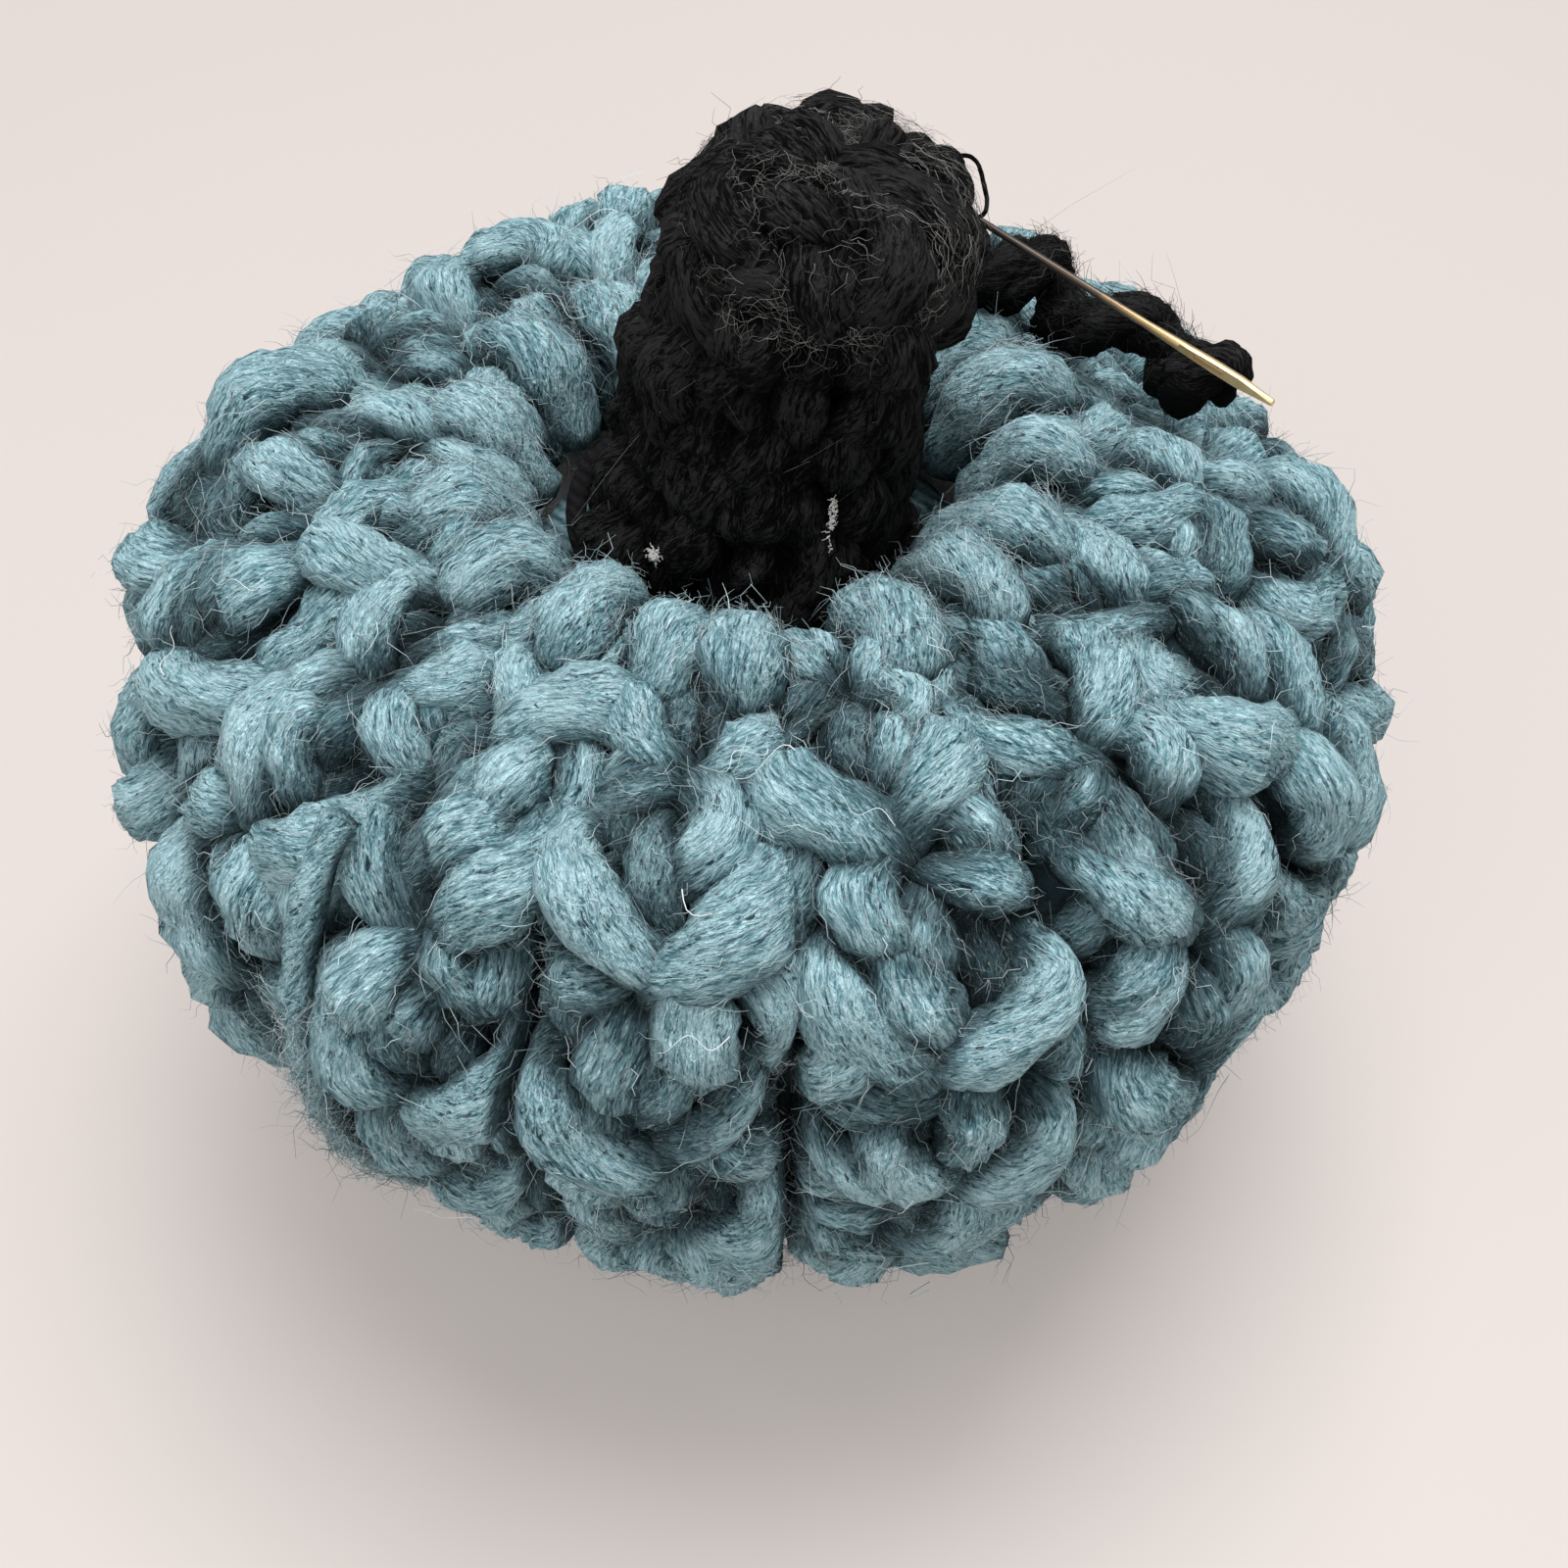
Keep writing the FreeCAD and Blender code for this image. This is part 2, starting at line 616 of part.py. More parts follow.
pieces = [
    make_body_cover(),
    make_body_filling(),
    make_side_seam_strand(),
    *make_gather_strands(),
    make_centre_tie(),
    *make_stem(),
    make_needle(),
    *make_vine(),
]
for piece in pieces:
    piece.Label = piece.Name
doc.recompute()

for item in doc.Objects:
    if {"Invalid", "Error"} & set(item.State):
        raise RuntimeError(f"{item.Name} failed: {item.State}")
for piece in pieces:
    if piece.Shape.isNull() or not piece.Shape.isValid():
        raise RuntimeError(f"{piece.Name} has no valid shape")
    if len(piece.Shape.Solids) != 1:
        raise RuntimeError(f"{piece.Name} has {len(piece.Shape.Solids)} solids")

os.makedirs("parts", exist_ok=True)
for piece in pieces:
    piece.Shape.exportStep(f"parts/{piece.Label}.step")
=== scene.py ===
"""Crocheted pumpkin pin cushion: the looks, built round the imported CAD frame.

Lengths in this script are millimetres until a mesh is made; Blender gets metres.
The cover is a soft liner with ribs, and every visible strand of yarn is laid on it by angle and by
distance up its outline.
"""

import json
import math

import bpy
import numpy as np
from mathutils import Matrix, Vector


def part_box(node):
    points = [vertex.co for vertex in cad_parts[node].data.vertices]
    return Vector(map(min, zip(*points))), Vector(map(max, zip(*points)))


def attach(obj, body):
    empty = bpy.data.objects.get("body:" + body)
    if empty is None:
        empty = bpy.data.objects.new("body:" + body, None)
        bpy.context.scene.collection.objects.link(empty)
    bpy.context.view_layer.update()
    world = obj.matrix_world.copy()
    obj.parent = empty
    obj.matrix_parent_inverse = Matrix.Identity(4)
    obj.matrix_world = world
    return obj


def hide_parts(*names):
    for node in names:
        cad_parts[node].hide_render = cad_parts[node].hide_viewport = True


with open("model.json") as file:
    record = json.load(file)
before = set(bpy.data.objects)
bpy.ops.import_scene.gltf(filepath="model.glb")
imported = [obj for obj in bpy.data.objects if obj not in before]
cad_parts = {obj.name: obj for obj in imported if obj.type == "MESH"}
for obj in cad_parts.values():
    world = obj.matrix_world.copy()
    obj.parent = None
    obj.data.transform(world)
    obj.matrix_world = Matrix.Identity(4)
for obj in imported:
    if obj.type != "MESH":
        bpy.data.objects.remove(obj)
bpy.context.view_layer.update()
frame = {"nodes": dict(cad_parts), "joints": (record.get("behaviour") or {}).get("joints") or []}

MM = 0.001
TURN = 2 * math.pi


def box_mm(node):
    """Lowest and highest corner of a CAD node, in millimetres."""
    return [np.array(corner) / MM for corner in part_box(node)]


def joint(name):
    return next(j for j in frame["joints"] if j["name"] == name)


# ---- sizes, read from the frame where it holds them ----

# Outline of the cover: its belt is the widest place, its crest the highest; SHOULDER, CORNER and LIP
# are the radii of its rounded places.
COVER_LOW, COVER_HIGH = box_mm("body_cover")
BELT_RADIUS = (COVER_HIGH[0] - COVER_LOW[0]) / 2
CREST = COVER_HIGH[2]
SHOULDER = 22.0
BELT = CREST - SHOULDER
FLAT_RADIUS, CORNER = 16.0, 22.0
DIMPLE_RADIUS, LIP, DIMPLE_FLOOR = 14.5, 6.0, 60.0
# Radius of the ball that has pressed a hollow for the tendril into the shoulder, the hollow's depth,
# and its direction and slope in degrees.
HOLLOW_BALL, HOLLOW_DEPTH, HOLLOW_ANGLE, HOLLOW_SLOPE = 50.0, 7.0, 30.0, 69.0

# Directions of the grooves between ribs; two grooves at the front have been drawn to one side.
RIBS = 16
RIB_ANGLE = 360.0 / RIBS
SEAM_ANGLE = -129.0
FRONT_SHIFT = 2.5
GROOVES = SEAM_ANGLE + RIB_ANGLE * np.arange(RIBS + 1)
GROOVES[1:3] -= FRONT_SHIFT
GROOVE_DEPTH = 4.6
GROOVE_GAP = 0.05

# The liner lies under the yarn, and the stuffing under the liner, with a seat for the stem.
LINER_DEPTH, LINER_THICKNESS = 4.6, 3.0
LINER_COLUMNS_PER_RIB, LINER_ROWS = 8, 84
HELD_LOW_ROWS, HELD_HIGH_ROWS = 6, 7
CLOTH_SCALE = 100.0
SEAT_RADIUS, SEAT_HEIGHT, SEAT_CORE = 20.7, 51.6, 12.0
CHANNEL_RADIUS, CHANNEL_MIDDLE, CHANNEL_LOW = 2.9, 30.0, 11.0

YARN = 2.35
STITCH_PITCH = 12.6
FUZZ_PER_RIB = 5000
TABLE_GAP = 0.6

# The stem in its upright place, with its hinge as the origin: slimmer at mid height, and its head
# leans on further.
STEM_PIVOT = np.array(joint("stem_lean")["pos_m"]) / MM
STEM_LEAN = math.radians(10.2)
STEM_BASE, STEM_BASE_RADIUS = -2.7, 12.4
STEM_TOP, STEM_TOP_RADIUS, STEM_CORNER = 31.5, 10.0, 5.2
STEM_WAIST, STEM_BEND = 0.08, 1.3
STEM_YARN, STEM_YARN_DEPTH = 1.75, 2.9


# ---- small geometry helpers ----


def unit(vectors):
    return vectors / np.maximum(np.linalg.norm(vectors, axis=-1, keepdims=True), 1e-9)


def smooth(x):
    x = np.clip(x, 0, 1)
    return x * x * (3 - 2 * x)


def wobble(points, wavelength, seed):
    """Smooth noise of about -1 to 1 at each point, from a few crossed waves."""
    rng = np.random.default_rng(seed)
    total = 0
    for _ in range(5):
        way = unit(rng.normal(size=3)) * TURN / (wavelength * rng.uniform(0.7, 1.5))
        total = total + np.sin(points @ way + rng.uniform(0, TURN))
    return total / 2.6


def polar(radius, turn, height):
    """Points from a radius, a direction in radians and a height."""
    x, y = radius * np.cos(turn), radius * np.sin(turn)
    return np.stack(np.broadcast_arrays(x, y, height), axis=-1)


def arc_points(centre, radius, first, last, count=24):
    turn = np.radians(np.linspace(first, last, count))
    return [(centre[0] + radius * math.cos(a), centre[1] + radius * math.sin(a)) for a in turn]


def resampled(points, count):
    """Points at equal distances along a polyline, and its length."""
    points = np.array(points, float)
    steps = np.linalg.norm(np.diff(points, axis=0), axis=1)
    along = np.concatenate([[0], np.cumsum(steps)])
    at = np.linspace(0, along[-1], count)
    return np.stack([np.interp(at, along, points[:, i]) for i in (0, 1)], axis=1), along[-1]


def cover_outline(inset, first_radius):
    """The cover's outline as (radius, height): underside, belt, shoulder, crown, dimple."""
    side = ((BELT_RADIUS - FLAT_RADIUS) ** 2 + (BELT - CORNER) ** 2 - CORNER**2) / (
        2 * (BELT_RADIUS - FLAT_RADIUS - CORNER)
    )
    touch = math.degrees(math.atan2(CORNER - BELT, FLAT_RADIUS - BELT_RADIUS + side))
    crown = BELT_RADIUS - SHOULDER
    points = [(first_radius, inset)]
    points += arc_points((FLAT_RADIUS, CORNER), CORNER - inset, -90, touch)
    points += arc_points((BELT_RADIUS - side, BELT), side - inset, touch, 0)
    points += arc_points((crown, BELT), SHOULDER - inset, 0, 90)
    lip = (DIMPLE_RADIUS + LIP, CREST - LIP)
    points += arc_points(lip, LIP - inset, 90, 180)
    points += [(DIMPLE_RADIUS + inset, DIMPLE_FLOOR)]
    return points


# ---- meshes ----

NO_FACES = np.zeros((0, 3), int)


def mesh_piece(name, vertices, quads, triangles, attributes=None, materials=(), indices=None):
    """A smooth-shaded object from arrays; vertices are in millimetres."""
    mesh = bpy.data.meshes.new(name)
    mesh.vertices.add(len(vertices))
    mesh.vertices.foreach_set("co", (np.asarray(vertices) * MM).astype(np.float32).ravel())
    corners = np.concatenate([np.ravel(quads), np.ravel(triangles)]).astype(np.int32)
    sizes = np.concatenate([np.full(len(quads), 4), np.full(len(triangles), 3)])
    starts = np.concatenate([[0], np.cumsum(sizes)[:-1]]).astype(np.int32)
    mesh.loops.add(len(corners))
    mesh.loops.foreach_set("vertex_index", corners)
    mesh.polygons.add(len(sizes))
    mesh.polygons.foreach_set("loop_start", starts)
    for key, values in (attributes or {}).items():
        kind, field = ("FLOAT", "value") if values.ndim == 1 else ("FLOAT_VECTOR", "vector")
        layer = mesh.attributes.new(key, kind, "POINT")
        layer.data.foreach_set(field, values.astype(np.float32).ravel())
    for material in materials:
        mesh.materials.append(material)
    if indices is not None:
        mesh.polygons.foreach_set("material_index", indices.astype(np.int32))
    mesh.update(calc_edges=True)
    mesh.shade_smooth()
    piece = bpy.data.objects.new(name, mesh)
    bpy.context.scene.collection.objects.link(piece)
    return piece


def tubes(centres, ups, radii, sides, width=1.0):
    """Closed tubes along centre lines: vertices (tubes, rings * sides + 2, 3), quads, triangles."""
    count, rings = centres.shape[:2]
    ahead = unit(np.gradient(centres, axis=1))
    across = unit(np.cross(ahead, ups))
    up = np.cross(across, ahead)
    turn = np.arange(sides) * TURN / sides
    radii = np.broadcast_to(radii[..., None] if radii.ndim == 2 else radii, (count, rings, sides))
    ring = centres[:, :, None] + radii[..., None] * (
        across[:, :, None] * np.cos(turn)[:, None] * width + up[:, :, None] * np.sin(turn)[:, None]
    )
    tips = radii.mean(axis=2)[:, [0, -1], None] * ahead[:, [0, -1]] * [[-0.5], [0.5]]
    poles = centres[:, [0, -1]] + tips
    vertices = np.concatenate([ring.reshape(count, rings * sides, 3), poles], axis=1)
    i, j = np.meshgrid(np.arange(rings - 1), np.arange(sides), indexing="ij")
    here, beside = i * sides + j, i * sides + (j + 1) % sides
    quads = np.stack([here, here + sides, beside + sides, beside], axis=-1).reshape(-1, 4)
    j = np.arange(sides)
    after, first_pole = (j + 1) % sides, rings * sides
    last = (rings - 1) * sides
    start = np.stack([np.full(sides, first_pole), j, after], axis=-1)
    end = np.stack([np.full(sides, first_pole + 1), last + after, last + j], axis=-1)
    base = np.arange(count)[:, None, None] * (rings * sides + 2)
    quads = (quads[None] + base).reshape(-1, 4)
    triangles = (np.concatenate([start, end])[None] + base).reshape(-1, 3)
    return vertices, quads, triangles


STRAND_SIDES = 18
FIBRE_STRETCH = 0.34
FIBRE_RIDGES = ((5, 0.05, 0.5), (9, 0.035, 0.9), (3, 0.045, -0.4))


def yarn_strands(centres, ups, radius, taper, rng, width=1.1, twist=0.16):
    """Plump strands of loose yarn with fibre ridges that wind slowly round them.

    Returns vertices, quads, triangles and the fibre and shade attributes, ready for mesh_piece."""
    count, rings = centres.shape[:2]
    sides = STRAND_SIDES
    taper = np.broadcast_to(taper, (count, rings))
    step = np.linalg.norm(np.diff(centres, axis=1), axis=2)
    along = np.concatenate([np.zeros((count, 1)), np.cumsum(step, axis=1)], axis=1)
    turn = np.arange(sides) * TURN / sides
    wound = turn[None, None] + twist * along[..., None] + rng.uniform(0, TURN, (count, 1, 1))
    swell = 1 + 0.09 * np.sin(along * 0.9 + rng.uniform(0, TURN, (count, 1)))
    radii = (radius * taper * swell)[..., None] * np.ones(sides)
    for ridges, height, wind in FIBRE_RIDGES:
        phase = rng.uniform(0, TURN, (count, 1, 1))
        radii = radii * (1 + height * np.sin(ridges * wound + wind * along[..., None] + phase))
    vertices, quads, triangles = tubes(centres, ups, radii, sides, width)
    skin = vertices[:, :-2].reshape(count, rings, sides, 3)
    rough = 0.24 * wobble(skin, 3.0, 21) + 0.12 * wobble(skin, 1.4, 22)
    skin += unit(skin - centres[:, :, None]) * (rough * np.minimum(radii / 2, 1))[..., None]

    start = rng.uniform(-50, 50, (count, 1, 1, 3))
    flat = np.ones((count, rings, sides))
    middle = radius.mean(axis=1)[:, None, None]
    fibre = polar(middle, wound, FIBRE_STRETCH * along[..., None]) + start
    # Painted light and shade: the first shade value is high on each strand's upper side and middle and low on
    # its underside and tapered ends, and the materials paint it lighter or darker from that.
    top = 0.5 + 0.5 * np.sin(turn)[None, None]
    tone = rng.uniform(-1, 1, (count, 1, 1))
    shade = np.stack([top * taper[..., None], tone * flat, taper[..., None] * flat], axis=-1)

    def with_poles(values):
        ends = values[:, [0, -1]].mean(axis=2)
        return np.concatenate([values.reshape(count, rings * sides, 3), ends], axis=1).reshape(-1, 3)

    return vertices, quads, triangles, {"fibre": with_poles(fibre), "shade": with_poles(shade)}


def fuzz(roots, ways, ups, lengths, thickness, rng, curl=0.35, rise=0.22, hug=0.0, rings=4, height=1.0):
    """Loose fibres that start on a strand, run along it and lift off: thin closed tubes.

    hug is the curvature, per millimetre, with which they bend back round the piece; height is the shade
    attribute's first value, from which the material paints shade on fibres in crevices."""
    count = len(roots)
    side = unit(np.cross(ways, ups))
    share = np.linspace(0, 1, rings)[None, :, None]
    bend = rng.normal(size=(count, 1, 1)) * curl
    lift = rng.uniform(0.1, 1, (count, 1, 1)) * rise
    phase = rng.uniform(0, TURN, (count, 1, 1))
    reach = lengths[:, None, None]
    sway = bend * share**2 + 0.35 * curl * (np.sin(1.4 * TURN * share + phase) - np.sin(phase))
    centres = (
        roots[:, None]
        + ways[:, None] * reach * share
        + side[:, None] * reach * sway
        + ups[:, None] * reach * lift * np.sin(share * math.pi * rng.uniform(0.5, 1.0, (count, 1, 1)))
        - ups[:, None] * hug * (reach * share) ** 2 / 2
    )
    thin = np.linspace(1, 0.35, rings)[None] * thickness[:, None]
    vertices, quads, triangles = tubes(centres, np.broadcast_to(ups[:, None], centres.shape), thin, 3)
    each = vertices.shape[1]
    shade = np.stack([np.broadcast_to(height, count), rng.uniform(-1, 1, count), np.ones(count)], axis=-1)
    seed = rng.uniform(-50, 50, (count, 3))
    attributes = {"fibre": np.repeat(seed, each, axis=0), "shade": np.repeat(shade, each, axis=0)}
    return vertices, quads, triangles, attributes


def fuzz_on(strands, count, length, thickness, rng, **style):
    """Fuzz whose roots are spread over the upper side of yarn strands."""
    vertices = strands[0][:, :-2].reshape(len(strands[0]), -1, STRAND_SIDES, 3)
    rings = vertices.shape[1]
    shade = strands[3]["shade"][:, 0].reshape(len(vertices), -1)
    pick = rng.integers(0, len(vertices), count)
    ring = rng.integers(rings // 5, rings - rings // 5 - 1, count)
    side = rng.integers(0, STRAND_SIDES // 2 + 1, count)
    roots = vertices[pick, ring, side]
    ahead = unit(vertices[pick, ring + 1, side] - roots)
    centre = vertices[pick, ring].mean(axis=1)
    ups = unit(roots - centre)
    flip = rng.choice([-1.0, 1.0], (count, 1))
    ways = unit(ahead * flip + 0.30 * rng.normal(size=(count, 3)))
    roots = roots - ups * 0.08
    lengths = length * np.minimum(rng.lognormal(0, 0.4, count), 1.7)
    thick = thickness * rng.uniform(0.6, 1.3, count)
    # Painted shade: each fibre takes the painted-shade value of the strand spot it grows from.
    height = shade[pick, ring * STRAND_SIDES + side]
    return fuzz(roots, ways, ups, lengths, thick, rng, height=height, **style)


def yarn_piece(name, parts, materials):
    """One piece from several (vertices, quads, triangles, attributes); part i has material i."""
    vertices, quads, triangles, base = [], [], [], 0
    layers = {"fibre": [], "shade": []}
    for v, q, t, attributes in parts:
        v = v.reshape(-1, 3)
        vertices.append(v)
        quads.append(q + base)
        triangles.append(t + base)
        for key in layers:
            layers[key].append(attributes[key])
        base += len(v)
    kinds = [np.full(len(part[1]), i) for i, part in enumerate(parts)]
    kinds += [np.full(len(part[2]), i) for i, part in enumerate(parts)]
    return mesh_piece(
        name, np.concatenate(vertices), np.concatenate(quads), np.concatenate(triangles),
        {key: np.concatenate(values) for key, values in layers.items()}, materials, np.concatenate(kinds),
    )


def stand_in(piece, body, node):
    """Makes a piece ride on a body and be seen in place of one of its CAD nodes."""
    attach(piece, body)
    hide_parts(node)


# ---- the cover's liner: a ribbed bag whose ribs are puffed out by a cloth simulation ----


def liner_columns():
    """Direction of each column of the liner, and its place across its rib from -1 to 1."""
    place = np.arange(RIBS * LINER_COLUMNS_PER_RIB) / LINER_COLUMNS_PER_RIB
    return np.interp(place, np.arange(RIBS + 1), GROOVES), 2 * (place % 1.0) - 1


def pressed_hollow(points, inset):
    """Pushes points out of the ball that the tendril has pressed into the shoulder."""
    reach = SHOULDER + HOLLOW_BALL - HOLLOW_DEPTH
    slope, angle = math.radians(HOLLOW_SLOPE), math.radians(HOLLOW_ANGLE)
    out = BELT_RADIUS - SHOULDER + reach * math.cos(slope)
    centre = np.array([out * math.cos(angle), out * math.sin(angle), BELT + reach * math.sin(slope)])
    away = points - centre
    distance = np.linalg.norm(away, axis=-1, keepdims=True)
    ball = HOLLOW_BALL + inset
    return np.where(distance < ball, centre + away / distance * ball, points)


def liner_grid():
    """Liner points (angles, rows, 3) before it is puffed out, with its grooves drawn in."""
    outline, length = resampled(cover_outline(LINER_DEPTH, 2.5), LINER_ROWS)
    angles, share = liner_columns()
    along = np.gradient(outline, axis=0)
    normal = unit(np.stack([along[:, 1], -along[:, 0]], axis=1))
    depth = GROOVE_DEPTH * (0.3 + 0.7 * smooth((outline[:, 0] - 12) / 26))
    seam = np.exp(-(((angles - SEAM_ANGLE + 180) % 360 - 180) / 3.0) ** 2)
    pull = np.abs(share) ** 3
    dent = -(pull * (1 + 0.5 * seam))[:, None] * depth[None]
    radius = outline[None, :, 0] + dent * normal[None, :, 0]
    height = outline[None, :, 1] + dent * np.minimum(normal[:, 1], 0.9)[None]
    turn = np.radians(angles)[:, None]
    points = pressed_hollow(polar(radius, turn, height), LINER_DEPTH)
    swell = wobble(points, 42.0, 5)[..., None] * 0.9 * smooth(points[..., 2:] / 20)
    points = points + unit(points - [0, 0, BELT]) * swell
    return points, length, angles, share


def grid_faces(columns, rows, closed=False):
    """Quads of a grid of points that goes all the way round and, if closed, meets itself in rows."""
    i, j = np.meshgrid(np.arange(columns), np.arange(rows if closed else rows - 1), indexing="ij")
    beside, above = (i + 1) % columns, (j + 1) % rows
    corners = (i * rows + j, beside * rows + j, beside * rows + above, i * rows + above)
    return np.stack(corners, axis=-1).reshape(-1, 4)


def ring_piece(name, points, material):
    """A closed ring from outline points (angles, rows, 3) that form a loop."""
    columns, rows = points.shape[:2]
    faces = grid_faces(columns, rows, closed=True)
    return mesh_piece(name, points.reshape(-1, 3), faces, NO_FACES, materials=[material])


def shell_piece(name, surface, thickness, material):
    """A closed shell under a surface."""
    inner = (surface.points - surface.normals * thickness)[:, ::-1]
    return ring_piece(name, np.concatenate([surface.points, inner], axis=1), material)


def puffed(points, frames=12, pressure=34.0, cap=1.9):
    """The liner after a cloth simulation that holds its grooves and ends and fills its ribs.

    It runs at CLOTH_SCALE times the size, where the solver's default masses suit the cushion."""
    columns, rows = points.shape[:2]
    corners = points.reshape(-1, 3) * CLOTH_SCALE
    bag = mesh_piece("liner_cloth", corners, grid_faces(columns, rows), NO_FACES)
    held = bag.vertex_groups.new(name="held")
    column, row = np.divmod(np.arange(columns * rows), rows)
    ends = (row < HELD_LOW_ROWS) | (row >= rows - HELD_HIGH_ROWS)
    pinned = (column % LINER_COLUMNS_PER_RIB == 0) | ends
    held.add([int(i) for i in np.nonzero(pinned)[0]], 1.0, "REPLACE")
    cloth = bag.modifiers.new("cloth", "CLOTH")
    cloth.settings.vertex_group_mass = "held"
    cloth.settings.use_pressure = True
    cloth.settings.uniform_pressure_force = pressure
    cloth.settings.effector_weights.gravity = 0
    scene = bpy.context.scene
    for number in range(1, frames + 1):
        scene.frame_set(number)
    view = bag.evaluated_get(bpy.context.evaluated_depsgraph_get())
    found = np.zeros(columns * rows * 3, np.float32)
    view.data.vertices.foreach_get("co", found)
    scene.frame_set(1)
    bpy.data.objects.remove(bag)
    move = found.reshape(points.shape) / (MM * CLOTH_SCALE) - points
    size = np.linalg.norm(move, axis=-1, keepdims=True)
    return points + move * np.minimum(1, cap / np.maximum(size, 1e-6))


class Surface:
    """A grid of points (angles, rows, 3) as a surface: a point for an angle and a distance up it."""

    def __init__(self, points, length, angles):
        self.points, self.length, self.angles = points, length, angles
        around = np.roll(points, -1, axis=0) - np.roll(points, 1, axis=0)
        self.normals = unit(np.cross(around, np.gradient(points, axis=1)))
        middle = points.mean(axis=0, keepdims=True)
        self.radii = np.linalg.norm(points - middle, axis=-1).mean(axis=0)

    def at(self, angles, distance):
        """(points, normals) of the surface at angles in degrees and distances up it."""
        columns, rows = self.points.shape[:2]
        turned = np.append(self.angles - self.angles[0], 360.0)
        x = np.interp((angles - self.angles[0]) % 360.0, turned, np.arange(columns + 1))
        y = np.clip(distance / self.length, 0, 1) * (rows - 1)
        i, j = np.floor(x).astype(int), np.minimum(np.floor(y).astype(int), rows - 2)
        a, b = (x - i)[..., None], (y - j)[..., None]
        i, beside = i % columns, (i + 1) % columns

        def mix(grid):
            low = grid[i, j] * (1 - a) + grid[beside, j] * a
            high = grid[i, j + 1] * (1 - a) + grid[beside, j + 1] * a
            return low * (1 - b) + high * b

        return mix(self.points), unit(mix(self.normals))

    def radius(self, distance):
        rows = len(self.radii)
        return np.interp(distance / self.length * (rows - 1), np.arange(rows), self.radii)


def make_liner_surface():
    points, length, angles, share = liner_grid()
    points = puffed(points)
    return Surface(points, length, angles)


# ---- crocheted cover ----

# Strands of one stitch. Across runs over the rib from -0.5 to 0.5 and up is in stitch heights:
# (across, up) at the low end, the same at the high end, sideways bow, thickness, how far it stands out.
STITCH = (
    (0.02, 0.30, -0.32, 1.00, -0.06, 1.00, 1.0),
    (0.06, 0.50, -0.12, 1.10, -0.04, 0.86, 0.6),
    (0.02, 0.22, 0.34, 0.94, 0.07, 1.16, 1.1),
    (-0.46, -0.02, -0.06, 0.36, 0.05, 0.84, 0.7),
    (-0.46, 0.18, -0.14, 0.54, 0.04, 0.80, 0.6),
    (-0.46, 0.42, -0.22, 0.76, 0.03, 0.74, 0.3),
    (0.12, -0.20, 0.08, 0.40, 0.03, 1.00, 0.8),
    (0.38, -0.14, 0.28, 0.50, 0.04, 1.04, 0.9),
    (0.41, 0.36, 0.38, 0.98, 0.00, 0.80, 0.1),
    (-0.22, -0.10, -0.30, 0.50, 0.00, 0.90, -0.3),
    (-0.02, -0.30, -0.06, 0.24, 0.00, 1.00, -0.1),
    (0.20, 0.30, 0.16, 0.90, 0.00, 0.90, -0.4),
)
STRAND_RINGS = 17
# In yarn radii: how deep a strand's ends dive, how high its middle arches, and what standing out adds.
DIVE, ARCH_HEIGHT, STAND_HEIGHT, STRAND_SWAY = 1.1, 1.45, 0.7, 0.14
# Share of rows whose stitch is mirrored, and how much one stitch differs from the next.
MIRRORED = 0.3
ACROSS_JITTER, UP_JITTER, BOW_JITTER, THICK_JITTER, STAND_JITTER = 0.04, 0.9, 0.03, 0.1, 0.25
# The yarn is drawn thinner where the cover is gathered to less than this radius.
GATHER_RADIUS, THINNEST = 36.0, 0.66
# Strands are eased in from this share of the rib's half width; over the crown they may spread further.
EASE_FROM, CROWN_FROM, CROWN_RISE, CROWN_SPREAD = 0.7, 6.0, 10.0, 0.3
GROOVE_SHADE, GROOVE_SHADE_WIDTH = 0.85, 1.2


def laid_strands(surface, low, high, bow, thick, stand, yarn, rng):
    """Yarn strands laid over a surface, diving under it at both ends.

    low and high are (angle in degrees, distance up) per strand; thick is in yarn radii. The first value of
    the shade attribute becomes the height over the surface, 0 in a crevice and 1 on top, which the materials
    paint as shade: the lower, the darker."""
    t = np.linspace(0, 1, STRAND_RINGS)[None]
    arch = np.sin(math.pi * t)
    across = low[:, :1] * (1 - t) + high[:, :1] * t + bow[:, None] * arch
    up = low[:, 1:] * (1 - t) + high[:, 1:] * t
    points, normals = surface.at(across, up)
    yarn = np.broadcast_to(yarn, thick.shape)[:, None]
    radius = yarn * thick[:, None] * np.ones_like(up)
    lift = (-DIVE + (ARCH_HEIGHT + STAND_HEIGHT * stand[:, None]) * arch**0.45) * radius
    centres = points + normals * lift[..., None]
    size = yarn.mean()
    sway = np.stack([wobble(centres, 3.6 * size, 11 + axis) for axis in range(3)], axis=-1)
    centres = centres + STRAND_SWAY * size * sway
    part = yarn_strands(centres, normals, radius, 0.45 + 0.55 * arch**0.4, rng)

    def for_vertices(values):
        rings = np.repeat(values, STRAND_SIDES, axis=1)
        return np.concatenate([rings, values[:, [0, -1]]], axis=1)

    # Painted shade: strands lying low between others get a low first shade value and are painted darker.
    height = ((part[0] - for_vertices(points)) * for_vertices(normals)).sum(axis=-1) / yarn
    part[3]["shade"][:, 0] = np.clip((height - 0.3) / 1.5, 0, 1).ravel()
    return part


